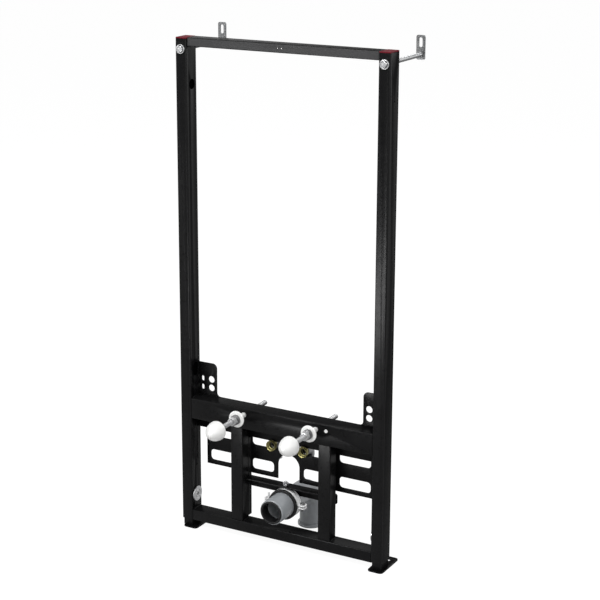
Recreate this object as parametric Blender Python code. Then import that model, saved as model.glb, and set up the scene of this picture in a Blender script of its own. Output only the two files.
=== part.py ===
# Wall-hung bidet installation frame. Metres, +Z up, front towards -Y.
# Built once per run from primitives, outlines and swept rings; nothing is read or written.
import math
import bpy
import bmesh
from mathutils import Matrix, Vector

for stale in list(bpy.data.objects):
    bpy.data.objects.remove(stale, do_unlink=True)

# Driving sizes. Depths (names with _Y) are measured from the front face of the uprights.
GAP = 0.0003                # clearance between touching pieces
FRAME_WIDTH = 0.508
TOP_Z = 1.1205              # top of the end caps
UPRIGHT_W = 0.027
UPRIGHT_D = 0.041
UPRIGHT_WALL = 0.002
UPRIGHT_CORNER = 0.003
UPRIGHT_BOTTOM = 0.0195
UPRIGHT_CORNER_STEPS = 3
NUT_POINTS = 24
CAP_T = 0.0025
CAP_EDGE = 0.0006
CAP_PLUG = 0.012
CAP_PLUG_CORNER = 0.0008

TOP_RAIL_H = 0.019
TOP_RAIL_FRONT_Y = 0.005
TOP_RAIL_BACK_Y = 0.0395
TOP_RAIL_HOLE_R = 0.0014
TOP_RAIL_HOLE_XS = (-0.007, 0.0025)
MID_RAIL_BOTTOM = 0.2645
MID_RAIL_H = 0.0485
MID_RAIL_FRONT_Y = 0.0015
MID_RAIL_BACK_Y = 0.0395
LOW_RAIL_BOTTOM = 0.0175
LOW_RAIL_H = 0.0255
LOW_RAIL_FRONT_Y = 0.0015
LOW_RAIL_BACK_Y = 0.0385
RAIL_WALL = 0.0018
RAIL_CORNER = 0.0025
SMALL_CORNER = 0.0006       # least inner corner of any tube

POST_INNER_X = 0.0955
POST_W = 0.030
POST_FRONT_Y = 0.0035
POST_D = 0.029
POST_WALL = 0.0018
RIB_T = 0.004
RIB_FOOT = 0.0037           # the rib starts this far above the post's foot

EAR_PLATE_T = 0.003
EAR_PLATE_INSET = 0.004     # inside the frame's outer sides
EAR_PLATE_DROP = 0.0315     # below the stud rail
EAR_PLATE_SHY = 0.001       # its middle ends this far below the stud rail's top
EAR_W = 0.066
EAR_RISE = 0.075            # above the stud rail's top
EAR_CORNER = 0.011
EAR_FILLET = 0.009
EAR_HOLE_IN = 0.052
EAR_HOLE_R = 0.0078
EAR_SLOT_IN = 0.0295
EAR_SLOT_W = 0.0066
EAR_SLOT_H = 0.012
EAR_HOLE_DROPS = (0.038, 0.058)

GRID_T = 0.0025
GRID_INSET = 0.041
GRID_EDGE = 0.010           # web outside the outer slots
GRID_H = 0.136
GRID_LAP = 0.0175           # it reaches this far up behind the stud rail
GRID_SLOT_H = 0.025
GRID_SLOT_CORNER = 0.0085
GRID_LOW_RISE = 0.011
GRID_HIGH_RISE = 0.0685
GRID_POST_OUT = 0.0015      # from the posts' outer sides to the outer slots
GRID_POST_IN = 0.0025       # from the posts' inner sides to the inner slots
GRID_IN_X0 = 0.0377
GRID_PORT_X0 = 0.0265
ARCH_HALF = 0.027
ARCH_RISE = 0.0605

STUD_X = 0.090
SPARE_X = 0.115
STUD_DROP = 0.015           # below the stud rail's top
STUD_R = 0.0060
STUD_HOLE_R = 0.0066
STUD_FRONT_Y = -0.120
STUD_BACK_Y = 0.110
FLANGE_FACE_Y = -0.031
FLANGE_T = 0.0035
FLANGE_R = 0.0185
SLEEVE_R = 0.0070
NUT_R = 0.0105
NUT_T = 0.010
FRONT_NUT_T = 0.018
WASHER_R = 0.0120
WASHER_T = 0.0025
STUD_CAP_R = 0.0215
STUD_CAP_LIP = 0.012        # the cap reaches this far behind the stud's tip
STUD_CAP_NOSE = 0.022       # and this far in front of it
STUD_CAP_DOME = 0.94        # share of the cap's length that is domed
STUD_CAP_TAPER = 0.97

ARM_DROP = 0.025            # below the end caps' tops
ARM_R = 0.0048
ARM_HOLE_R = 0.0053
ARM_PLATE_Y = 0.168
ARM_PLATE_T = 0.003
ARM_PLATE_W = 0.020
ARM_PLATE_CORNER = 0.004
ARM_PLATE_BELOW = 0.0105
ARM_PLATE_ABOVE = 0.0405
ARM_SLOT_W = 0.008
ARM_SLOT_H = 0.020
ARM_SLOT_RISE = 0.0255
ARM_HEAD_R = 0.0085
ARM_HEAD_T = 0.006
ARM_TIP_IN = 0.001          # the rod ends this far inside its nut
ARM_WASHER_R = 0.0112
ARM_WASHER_T = 0.002

PORT_HOLE_Y = 0.022
PORT_HOLE_DROP = 0.1015
PORT_HOLE_R = 0.0108
PORT_OVAL_RISE = 0.064      # above the stud rail's top
PORT_OVAL_H = 0.030
PIN_HOLE_R = 0.0022
PIN_HOLE_RISE = 0.1285      # above the uprights' lower ends
LOCK_RISE = 0.0575
LOCK_Y = 0.0205
LOCK_DISC_R = 0.0175
LOCK_DISC_T = 0.0025
LOCK_RIM = 0.0005
LOCK_SOCKET_R = 0.0035
LOCK_SOCKET_DEPTH = 0.0035
LOCK_SHANK_R = 0.0055
LOCK_HOLE_R = 0.0059

LEG_WALL = 0.002
LEG_CORNER = 0.001
LEG_H = 0.327
LEG_TRAVEL = 0.200
FOOT_T = 0.003
FOOT_W = 0.036
FOOT_OVERHANGS = {"left": -0.004, "right": 0.003}    # outside the upright, as photographed
FOOT_TOE = 0.005            # in front of the upright
FOOT_HEEL = 0.040           # behind the upright
FOOT_CORNER = 0.008
FOOT_HOLE_R = 0.0055
FOOT_HOLE_IN = 0.017

BAR_H = 0.0245
BAR_T = 0.0025
BAR_HALF = 0.122
BAR_CORNER = 0.005
BAR_SHELF_END = 0.0015      # clear of the posts
BAR_SHELF_LIP = 0.0095      # the shelf reaches this far in front of the hanging bolt
BAR_SADDLE_CLEAR = 0.0015

WASTE_Z = 0.098
SOCKET_R = 0.0285
SOCKET_FRONT_Y = -0.020
SOCKET_BACK_Y = 0.055
SOCKET_TAPER = 0.006
PIPE_R = 0.025
PIPE_WALL = 0.0028
ELBOW_AXIS_Y = 0.148
ELBOW_BEND = 0.040
SPIGOT_END_Z = 0.0030
COLLAR_R = 0.029
COLLAR_H = 0.0075
COLLAR_STEP = 0.001
SEAL_LIP = 0.0157           # the seal stands this far out of the socket
SEAL_R = 0.026
SEAL_MOUTH_R = 0.0205
SEAL_BORE_R = 0.0165
SEAL_DISH = 0.0155
SEAL_DEPTH = 0.030
SEAL_EDGE = 0.0015
CLAMP_Y0 = 0.0225
CLAMP_W = 0.018
LINER_T = 0.0028
LINER_LIP = 0.0025          # the lining's edges stand this far out of the band
BAND_T = 0.002
BAND_RIM_T = 0.0010          # folded edges of the clamp band
BAND_RIM_W = 0.0026
EAR_OUT = 0.016
EAR_T = 0.0028
CLAMP_HALF_GAP = 0.0015
CLAMP_SCREW_R = 0.003
CLAMP_SCREW_HOLE_R = 0.0034
CLAMP_SCREW_TIP = 0.008
CLAMP_HEAD_R = 0.0055
CLAMP_HEAD_T = 0.004
HANGER_R = 0.004
HANGER_TIP = 0.010
HANGER_HOLE_R = 0.0045
HANGER_NUT_R = 0.0075
HANGER_NUT_T = 0.0065
HANGER_LENGTH = 0.004       # between the clamp and the shelf

WATER_X = 0.0397
WATER_DROP = 0.0092         # below the ear plate's lower edge
WATER_R = 0.0120
WATER_BODY_R = 0.0105
WATER_BORE_R = 0.0065
WATER_NOSE = 0.0080         # in front of the ear plate
WATER_BACK = 0.0229         # axis of the leg behind the slotted plate
WATER_BEND = 0.012
WATER_LEG = 0.0198
WATER_NECK_STEP = 0.0002
UNION_R = 0.0105
UNION_H = 0.0197

# Derived places
UPRIGHT_IN_X = 0.5 * FRAME_WIDTH - UPRIGHT_W
UPRIGHT_MID_X = 0.5 * (FRAME_WIDTH - UPRIGHT_W)
UPRIGHT_TOP = TOP_Z - CAP_T - GAP
RAIL_HALF = UPRIGHT_IN_X - GAP
MID_RAIL_TOP = MID_RAIL_BOTTOM + MID_RAIL_H
LOW_RAIL_TOP = LOW_RAIL_BOTTOM + LOW_RAIL_H
POST_BACK_Y = POST_FRONT_Y + POST_D
STUD_Z = MID_RAIL_TOP - STUD_DROP
EAR_PLATE_Y = UPRIGHT_D + GAP
EAR_PLATE_HALF = 0.5 * FRAME_WIDTH - EAR_PLATE_INSET
EAR_PLATE_BOTTOM = MID_RAIL_BOTTOM - EAR_PLATE_DROP
EAR_PLATE_MID_TOP = MID_RAIL_TOP - EAR_PLATE_SHY
EAR_TOP = MID_RAIL_TOP + EAR_RISE
EAR_INNER_X = EAR_PLATE_HALF - EAR_W
EAR_HOLE_X = EAR_PLATE_HALF - EAR_HOLE_IN
EAR_SLOT_X = EAR_PLATE_HALF - EAR_SLOT_IN
EAR_HOLE_ZS = (EAR_TOP - EAR_HOLE_DROPS[0], EAR_TOP - EAR_HOLE_DROPS[1])
GRID_Y = EAR_PLATE_Y + EAR_PLATE_T + GAP
GRID_HALF = 0.5 * FRAME_WIDTH - GRID_INSET
GRID_TOP = MID_RAIL_BOTTOM + GRID_LAP
GRID_BOTTOM = GRID_TOP - GRID_H
GRID_LOW_Z = GRID_BOTTOM + GRID_LOW_RISE
GRID_HIGH_Z = GRID_BOTTOM + GRID_HIGH_RISE
GRID_OUT_X0 = POST_INNER_X + POST_W + GRID_POST_OUT
GRID_OUT_X1 = GRID_HALF - GRID_EDGE
GRID_IN_X1 = POST_INNER_X - GRID_POST_IN
ARCH_TOP = GRID_BOTTOM + ARCH_RISE
RIB_BOTTOM = LOW_RAIL_TOP + GAP + RIB_FOOT
RIB_BACK_Y = GRID_Y - GAP
STUD_CAP_BACK_Y = STUD_FRONT_Y + STUD_CAP_LIP
STUD_CAP_TIP_Y = STUD_FRONT_Y - STUD_CAP_NOSE
ARM_X = UPRIGHT_MID_X
ARM_Z = TOP_Z - ARM_DROP
ARM_PLATE_BOTTOM = ARM_Z - ARM_PLATE_BELOW
ARM_PLATE_TOP = ARM_Z + ARM_PLATE_ABOVE
ARM_SLOT_Z = ARM_Z + ARM_SLOT_RISE
PORT_HOLE_TOP_Z = TOP_Z - PORT_HOLE_DROP
PORT_OVAL_Z = MID_RAIL_TOP + PORT_OVAL_RISE
PIN_HOLE_Z = UPRIGHT_BOTTOM + PIN_HOLE_RISE
LOCK_Z = UPRIGHT_BOTTOM + LOCK_RISE
LEG_BOTTOM = FOOT_T + GAP
LEG_TOP = LEG_BOTTOM + LEG_H
FOOT_XS = {"left": -0.5 * (FRAME_WIDTH - FOOT_W) - FOOT_OVERHANGS["left"],
           "right": 0.5 * (FRAME_WIDTH - FOOT_W) + FOOT_OVERHANGS["right"]}
FOOT_FRONT_Y = -FOOT_TOE
FOOT_BACK_Y = UPRIGHT_D + FOOT_HEEL
FOOT_HOLE_Y = FOOT_BACK_Y - FOOT_HOLE_IN
SEAL_FACE_Y = SOCKET_FRONT_Y - GAP
SEAL_FRONT_Y = SEAL_FACE_Y - SEAL_LIP
SEAL_STEP_Y = SEAL_FRONT_Y + SEAL_DISH
COLLAR_TOP_Z = SPIGOT_END_Z + COLLAR_H
CLAMP_Y1 = CLAMP_Y0 + CLAMP_W
HANGER_Y = 0.5 * (CLAMP_Y0 + CLAMP_Y1)
LINER_IN_R = SOCKET_R + GAP
LINER_OUT_R = LINER_IN_R + LINER_T
BAND_IN_R = LINER_OUT_R + GAP
BAND_OUT_R = BAND_IN_R + BAND_T
BAND_RIM_R = BAND_OUT_R + BAND_RIM_T
LINER_EDGE_R = BAND_OUT_R   # its folded edges hide the band's edges up to here
HANGER_BOSS_R = 0.5 * CLAMP_W - BAND_RIM_W - GAP
HANGER_BASE_Z = WASTE_Z + BAND_OUT_R + GAP
SHELF_LOW_Z = HANGER_BASE_Z + HANGER_LENGTH + GAP
BAR_Z1 = SHELF_LOW_Z + BAR_T
BAR_Z0 = BAR_Z1 - BAR_H
BAR_SHELF_HALF = POST_INNER_X - BAR_SHELF_END
BAR_SHELF_FRONT_Y = HANGER_Y - BAR_SHELF_LIP
BAR_SADDLE_R = SOCKET_R + BAR_SADDLE_CLEAR
WATER_Z = EAR_PLATE_BOTTOM - WATER_DROP
WATER_NECK_R = WATER_DROP - GAP
WATER_FRONT_Y = EAR_PLATE_Y - GAP - WATER_NOSE
WATER_AXIS_Y = GRID_Y + GRID_T + GAP + WATER_BACK
WATER_LEG_Z = WATER_Z - WATER_LEG
UNION_TOP_Z = WATER_LEG_Z - GAP
UNION_END_Z = UNION_TOP_Z - UNION_H
BODY_FRONT = STUD_CAP_TIP_Y
BODY_BACK = max(ELBOW_AXIS_Y + COLLAR_R, ARM_PLATE_Y + ARM_PLATE_T)
BODY_LEFT = min(-0.5 * FRAME_WIDTH, FOOT_XS["left"] - 0.5 * FOOT_W)
BODY_RIGHT = max(0.5 * FRAME_WIDTH, FOOT_XS["right"] + 0.5 * FOOT_W)
X_SHIFT = -0.5 * (BODY_LEFT + BODY_RIGHT)
Y_SHIFT = -0.5 * (BODY_FRONT + BODY_BACK)

main = bpy.data.collections.new("bidet_frame")
tools = bpy.data.collections.new("cutters")
bpy.context.scene.collection.children.link(main)
bpy.context.scene.collection.children.link(tools)


def make_material(name, color, metallic, rough):
    mat = bpy.data.materials.new(name)
    mat.use_nodes = True
    shader = mat.node_tree.nodes["Principled BSDF"]
    shader.inputs["Base Color"].default_value = (color[0], color[1], color[2], 1.0)
    shader.inputs["Metallic"].default_value = metallic
    shader.inputs["Roughness"].default_value = rough
    return mat


PALETTE = {
    "coat": ((0.012, 0.012, 0.013), 0.0, 0.35),
    "zinc": ((0.62, 0.62, 0.62), 0.9, 0.35),
    "red": ((0.30, 0.008, 0.02), 0.0, 0.45),
    "white": ((0.85, 0.85, 0.84), 0.0, 0.4),
    "brass": ((0.36, 0.30, 0.10), 0.9, 0.35),
    "gray": ((0.20, 0.22, 0.24), 0.0, 0.45),
    "rubber": ((0.012, 0.012, 0.013), 0.0, 0.6),
}


def centre_on_origin(obj):
    for vert in obj.data.vertices:
        vert.co.x += X_SHIFT
        vert.co.y += Y_SHIFT
    return obj


def finish(obj, name, kind):
    obj.name = name
    obj.data.name = name
    centre_on_origin(obj)
    color, metallic, rough = PALETTE[kind]
    obj.data.materials.clear()
    obj.data.materials.append(make_material(name + "_" + kind, color, metallic, rough))
    return obj


def object_from(bm, name, collection=None):
    mesh = bpy.data.meshes.new(name)
    bmesh.ops.recalc_face_normals(bm, faces=bm.faces)
    bm.to_mesh(mesh)
    bm.free()
    obj = bpy.data.objects.new(name, mesh)
    (collection or main).objects.link(obj)
    return obj


def rounded_rect(x0, x1, y0, y1, radius, steps):
    points = []
    corners = (
        (x1 - radius, y1 - radius, 0.0),
        (x0 + radius, y1 - radius, 90.0),
        (x0 + radius, y0 + radius, 180.0),
        (x1 - radius, y0 + radius, 270.0),
    )
    for cx, cy, start in corners:
        for index in range(steps + 1):
            angle = math.radians(start + 90.0 * index / steps)
            points.append((cx + radius * math.cos(angle), cy + radius * math.sin(angle)))
    return points


def circle_points(cx, cy, radius, count, phase=0.0):
    points = []
    for index in range(count):
        angle = 2.0 * math.pi * index / count + phase
        points.append((cx + radius * math.cos(angle), cy + radius * math.sin(angle)))
    return points


SAME_POINT = 0.000001       # points closer than this are one
AXES = {
    "x": lambda a, b, t: (t, a, b),
    "y": lambda a, b, t: (a, t, b),
    "z": lambda a, b, t: (a, b, t),
}


def prism(outline, axis, t0, t1, name, collection=None):
    place = AXES[axis]
    bm = bmesh.new()
    low = [bm.verts.new(place(a, b, t0)) for a, b in outline]
    high = [bm.verts.new(place(a, b, t1)) for a, b in outline]
    count = len(outline)
    bm.faces.new(low)
    bm.faces.new(high)
    for index in range(count):
        after = (index + 1) % count
        bm.faces.new((low[index], low[after], high[after], high[index]))
    return object_from(bm, name, collection)


def skin(sections, axis, name, closed):
    # sections: (outline, place along the axis), all with as many points; closed joins last to first.
    place = AXES[axis]
    bm = bmesh.new()
    loops = []
    for outline, where in sections:
        loops.append([bm.verts.new(place(a, b, where)) for a, b in outline])
    count = len(loops[0])
    total = len(loops)
    for step in range(total if closed else total - 1):
        first = loops[step]
        second = loops[(step + 1) % total]
        for index in range(count):
            after = (index + 1) % count
            bm.faces.new((first[index], first[after], second[after], second[index]))
    if not closed:
        bm.faces.new(loops[0])
        bm.faces.new(loops[-1])
    bmesh.ops.remove_doubles(bm, verts=bm.verts, dist=SAME_POINT)
    return object_from(bm, name)


def tube(outer, inner, axis, t0, t1, name):
    # Straight hollow section, open at both ends.
    return skin([(outer, t0), (outer, t1), (inner, t1), (inner, t0)], axis, name, True)


def rect_tube(x0, x1, y0, y1, wall, radius, axis, t0, t1, name, steps=2):
    outer = rounded_rect(x0, x1, y0, y1, radius, steps)
    inner_radius = max(radius - wall, SMALL_CORNER)
    inner = rounded_rect(x0 + wall, x1 - wall, y0 + wall, y1 - wall, inner_radius, steps)
    return tube(outer, inner, axis, t0, t1, name)


def lathe(profile, axis, center, count, name, phase=0.0, collection=None):
    # profile: closed list of (radius, place along the axis); radius 0 makes a pole.
    place = AXES[axis]
    bm = bmesh.new()
    rings = []
    for radius, along in profile:
        if radius <= 0.0:
            rings.append([bm.verts.new(place(center[0], center[1], along))])
        else:
            points = circle_points(center[0], center[1], radius, count, phase)
            rings.append([bm.verts.new(place(a, b, along)) for a, b in points])
    total = len(profile)
    closed = profile[0][0] > 0.0
    for step in range(total if closed else total - 1):
        first = rings[step]
        second = rings[(step + 1) % total]
        for index in range(count):
            after = (index + 1) % count
            if len(first) == 1 and len(second) == 1:
                continue
            if len(first) == 1:
                bm.faces.new((first[0], second[after], second[index]))
            elif len(second) == 1:
                bm.faces.new((first[index], first[after], second[0]))
            else:
                bm.faces.new((first[index], first[after], second[after], second[index]))
    return object_from(bm, name, collection)


def hexagon_points(center, radius):
    # A hexagon with as many points as a round bore, so that the two can be joined.
    points = []
    flat = radius * math.cos(math.radians(30.0))
    for index in range(NUT_POINTS):
        angle = 2.0 * math.pi * index / NUT_POINTS
        inside = math.fmod(angle, math.radians(60.0)) - math.radians(30.0)
        reach = flat / math.cos(inside)
        points.append((center[0] + reach * math.cos(angle), center[1] + reach * math.sin(angle)))
    return points


def hex_nut(axis, center, bore, radius, t0, t1, name):
    round_bore = circle_points(center[0], center[1], bore, NUT_POINTS)
    return tube(hexagon_points(center, radius), round_bore, axis, t0, t1, name)


def flange_nut(axis, center, bore, radius, flange, t0, seat, t1, name):
    # Hexagon from t0 to seat, round flange from seat to t1.
    round_bore = circle_points(center[0], center[1], bore, NUT_POINTS)
    hexagon = hexagon_points(center, radius)
    disc = circle_points(center[0], center[1], flange, NUT_POINTS)
    sections = [(hexagon, t0), (hexagon, seat), (disc, seat), (disc, t1), (round_bore, t1),
                (round_bore, t0)]
    return skin(sections, axis, name, True)


def sweep_pipe(stations, count, name):
    # stations: (centre, direction, outer radius, bore radius) in the plane of one X value.
    bm = bmesh.new()
    outer = []
    inner = []
    for center, direction, radius, bore in stations:
        side = Vector((1.0, 0.0, 0.0))
        up = direction.cross(side).normalized()
        ring_out = []
        ring_in = []
        for index in range(count):
            angle = 2.0 * math.pi * index / count
            ray = side * math.cos(angle) + up * math.sin(angle)
            ring_out.append(bm.verts.new(center + ray * radius))
            ring_in.append(bm.verts.new(center + ray * bore))
        outer.append(ring_out)
        inner.append(ring_in)
    loops = outer + inner[::-1]
    total = len(loops)
    for step in range(total):
        first = loops[step]
        second = loops[(step + 1) % total]
        for index in range(count):
            after = (index + 1) % count
            bm.faces.new((first[index], first[after], second[after], second[index]))
    return object_from(bm, name)


def cut(target, cutter):
    cutter.hide_render = True
    cutter.display_type = "WIRE"
    modifier = target.modifiers.new("cut", "BOOLEAN")
    modifier.operation = "DIFFERENCE"
    modifier.solver = "EXACT"
    modifier.object = cutter
    return target


def round_cutter(axis, a, b, radius, t0, t1, count=20):
    obj = prism(circle_points(a, b, radius, count), axis, t0, t1, "cutter", tools)
    return centre_on_origin(obj)


def slot_cutter(axis, a0, a1, b0, b1, radius, t0, t1, steps=4):
    obj = prism(rounded_rect(a0, a1, b0, b1, radius, steps), axis, t0, t1, "cutter", tools)
    return centre_on_origin(obj)


def add_piece(target, extra):
    # Welds extra to target; extra is moved to the tools' collection.
    main.objects.unlink(extra)
    tools.objects.link(extra)
    centre_on_origin(extra)
    extra.hide_render = True
    extra.display_type = "WIRE"
    modifier = target.modifiers.new("weld", "BOOLEAN")
    modifier.operation = "UNION"
    modifier.solver = "EXACT"
    modifier.object = extra
    return target


REACH = 0.004               # how far a cutter runs past the wall it cuts
SUNK = 0.0009               # how far welded pieces run into each other
SIDES = (("left", -1.0), ("right", 1.0))


def build_uprights():
    for side, sign in SIDES:
        x_in = sign * UPRIGHT_IN_X
        x_out = sign * 0.5 * FRAME_WIDTH
        low, high = min(x_in, x_out), max(x_in, x_out)
        post = rect_tube(low, high, 0.0, UPRIGHT_D, UPRIGHT_WALL, UPRIGHT_CORNER, "z",
                         UPRIGHT_BOTTOM, UPRIGHT_TOP, side, UPRIGHT_CORNER_STEPS)
        finish(post, side + "_upright", "coat")
        wall_end = x_in + sign * (UPRIGHT_WALL + REACH)
        t0, t1 = min(x_in - sign * REACH, wall_end), max(x_in - sign * REACH, wall_end)
        cut(post, round_cutter("x", PORT_HOLE_Y, PORT_HOLE_TOP_Z, PORT_HOLE_R, t0, t1))
        cut(post, slot_cutter("x", PORT_HOLE_Y - PORT_HOLE_R, PORT_HOLE_Y + PORT_HOLE_R,
                              PORT_OVAL_Z - 0.5 * PORT_OVAL_H, PORT_OVAL_Z + 0.5 * PORT_OVAL_H,
                              PORT_HOLE_R * 0.98, t0, t1))
        cut(post, round_cutter("x", LOCK_Y, LOCK_Z, LOCK_HOLE_R, t0, t1, 16))
        cut(post, round_cutter("x", PORT_HOLE_Y, PIN_HOLE_Z, PIN_HOLE_R, t0, t1, 8))
        cut(post, round_cutter("y", sign * ARM_X, ARM_Z, ARM_HOLE_R, -REACH, UPRIGHT_D + REACH, 16))


def build_end_caps():
    for side, sign in SIDES:
        mid = sign * UPRIGHT_MID_X
        half = 0.5 * UPRIGHT_W
        steps = UPRIGHT_CORNER_STEPS
        plate = rounded_rect(mid - half, mid + half, 0.0, UPRIGHT_D, UPRIGHT_CORNER, steps)
        inset = UPRIGHT_WALL + GAP
        plug = rounded_rect(mid - half + inset, mid + half - inset, inset, UPRIGHT_D - inset,
                            CAP_PLUG_CORNER, steps)
        crown = rounded_rect(mid - half + CAP_EDGE, mid + half - CAP_EDGE, CAP_EDGE,
                             UPRIGHT_D - CAP_EDGE, UPRIGHT_CORNER - CAP_EDGE, steps)
        seat = TOP_Z - CAP_T
        sections = [(crown, TOP_Z), (plate, TOP_Z - CAP_EDGE), (plate, seat), (plug, seat),
                    (plug, seat - CAP_PLUG)]
        finish(skin(sections, "z", side, False), side + "_end_cap", "red")


def build_rails():
    top = rect_tube(TOP_RAIL_FRONT_Y, TOP_RAIL_BACK_Y, TOP_Z - TOP_RAIL_H, TOP_Z, RAIL_WALL,
                    RAIL_CORNER, "x", -RAIL_HALF, RAIL_HALF, "top")
    finish(top, "top_rail", "coat")
    for x in TOP_RAIL_HOLE_XS:
        cut(top, round_cutter("y", x, TOP_Z - 0.5 * TOP_RAIL_H, TOP_RAIL_HOLE_R,
                              TOP_RAIL_FRONT_Y - REACH, TOP_RAIL_FRONT_Y + REACH, 8))
    mid = rect_tube(MID_RAIL_FRONT_Y, MID_RAIL_BACK_Y, MID_RAIL_BOTTOM, MID_RAIL_TOP, RAIL_WALL,
                    RAIL_CORNER, "x", -RAIL_HALF, RAIL_HALF, "mid")
    finish(mid, "stud_rail", "coat")
    for x in (-SPARE_X, -STUD_X, STUD_X, SPARE_X):
        cut(mid, round_cutter("y", x, STUD_Z, STUD_HOLE_R, MID_RAIL_FRONT_Y - REACH,
                              MID_RAIL_BACK_Y + REACH))
    low = rect_tube(LOW_RAIL_FRONT_Y, LOW_RAIL_BACK_Y, LOW_RAIL_BOTTOM, LOW_RAIL_TOP, RAIL_WALL,
                    RAIL_CORNER, "x", -RAIL_HALF, RAIL_HALF, "low")
    finish(low, "bottom_rail", "coat")


def build_posts():
    for side, sign in SIDES:
        x_in = sign * POST_INNER_X
        x_out = sign * (POST_INNER_X + POST_W)
        post = rect_tube(min(x_in, x_out), max(x_in, x_out), POST_FRONT_Y, POST_BACK_Y, POST_WALL,
                         RAIL_CORNER, "z", LOW_RAIL_TOP + GAP, MID_RAIL_BOTTOM - GAP, side)
        finish(post, side + "_post", "coat")
        rib_out = x_in + sign * RIB_T
        low, high = min(x_in, rib_out), max(x_in, rib_out)
        outline = [(low, POST_BACK_Y - SUNK), (high, POST_BACK_Y - SUNK), (high, RIB_BACK_Y),
                   (low, RIB_BACK_Y)]
        add_piece(post, prism(outline, "z", RIB_BOTTOM, EAR_PLATE_BOTTOM - GAP, side + "_rib"))


def build_ear_plate():
    half = EAR_PLATE_HALF
    points = [(-half, EAR_PLATE_BOTTOM), (half, EAR_PLATE_BOTTOM), (half, EAR_TOP)]
    steps = 4
    for index in range(steps + 1):
        angle = math.radians(90.0 + 90.0 * index / steps)
        points.append((EAR_INNER_X + EAR_CORNER + EAR_CORNER * math.cos(angle),
                       EAR_TOP - EAR_CORNER + EAR_CORNER * math.sin(angle)))
    for index in range(steps + 1):
        angle = math.radians(0.0 - 90.0 * index / steps)
        points.append((EAR_INNER_X - EAR_FILLET + EAR_FILLET * math.cos(angle),
                       EAR_PLATE_MID_TOP + EAR_FILLET + EAR_FILLET * math.sin(angle)))
    left = [(-x, z) for x, z in points[2:]][::-1]
    plate = prism(points + left, "y", EAR_PLATE_Y, EAR_PLATE_Y + EAR_PLATE_T, "ears")
    finish(plate, "ear_plate", "coat")
    t0, t1 = EAR_PLATE_Y - REACH, EAR_PLATE_Y + EAR_PLATE_T + REACH
    for sign in (-1.0, 1.0):
        for z in EAR_HOLE_ZS:
            cut(plate, round_cutter("y", sign * EAR_HOLE_X, z, EAR_HOLE_R, t0, t1))
            cut(plate, slot_cutter("y", sign * EAR_SLOT_X - 0.5 * EAR_SLOT_W,
                                   sign * EAR_SLOT_X + 0.5 * EAR_SLOT_W,
                                   z - 0.5 * EAR_SLOT_H, z + 0.5 * EAR_SLOT_H,
                                   0.48 * EAR_SLOT_W, t0, t1, 3))
        for x in (STUD_X, SPARE_X):
            cut(plate, round_cutter("y", sign * x, STUD_Z, STUD_HOLE_R, t0, t1))
    return plate


def build_grid_plate():
    points = [(-GRID_HALF, GRID_BOTTOM), (-ARCH_HALF, GRID_BOTTOM)]
    steps = 10
    for index in range(steps + 1):
        angle = math.radians(180.0 - 180.0 * index / steps)
        points.append((ARCH_HALF * math.cos(angle), ARCH_TOP - ARCH_HALF + ARCH_HALF * math.sin(angle)))
    points += [(ARCH_HALF, GRID_BOTTOM), (GRID_HALF, GRID_BOTTOM), (GRID_HALF, GRID_TOP),
               (-GRID_HALF, GRID_TOP)]
    plate = prism(points, "y", GRID_Y, GRID_Y + GRID_T, "grid")
    finish(plate, "slotted_plate", "coat")
    t0, t1 = GRID_Y - REACH, GRID_Y + GRID_T + REACH
    rows = (
        (GRID_LOW_Z, GRID_IN_X0),
        (GRID_HIGH_Z, GRID_PORT_X0),
    )
    for sign in (-1.0, 1.0):
        for z, inner in rows:
            for a, b in ((inner, GRID_IN_X1), (GRID_OUT_X0, GRID_OUT_X1)):
                cut(plate, slot_cutter("y", min(sign * a, sign * b), max(sign * a, sign * b),
                                       z, z + GRID_SLOT_H, GRID_SLOT_CORNER, t0, t1))
    return plate


def build_bar():
    y0 = GRID_Y
    y1 = GRID_Y + BAR_T
    web = rounded_rect(-BAR_HALF, BAR_HALF, BAR_Z0, BAR_Z1, BAR_CORNER, 2)
    bar = finish(prism(web, "y", y0, y1, "bar"), "clamp_bar", "coat")
    add_piece(bar, prism([(-BAR_SHELF_HALF, BAR_SHELF_FRONT_Y), (BAR_SHELF_HALF, BAR_SHELF_FRONT_Y),
                          (BAR_SHELF_HALF, y1), (-BAR_SHELF_HALF, y1)], "z", SHELF_LOW_Z, BAR_Z1,
                         "shelf"))
    cut(bar, round_cutter("y", 0.0, WASTE_Z, BAR_SADDLE_R, y0 - REACH, y1 + REACH, 32))
    cut(bar, round_cutter("z", 0.0, HANGER_Y, HANGER_HOLE_R, SHELF_LOW_Z - REACH,
                          BAR_Z1 + REACH, 16))


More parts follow.
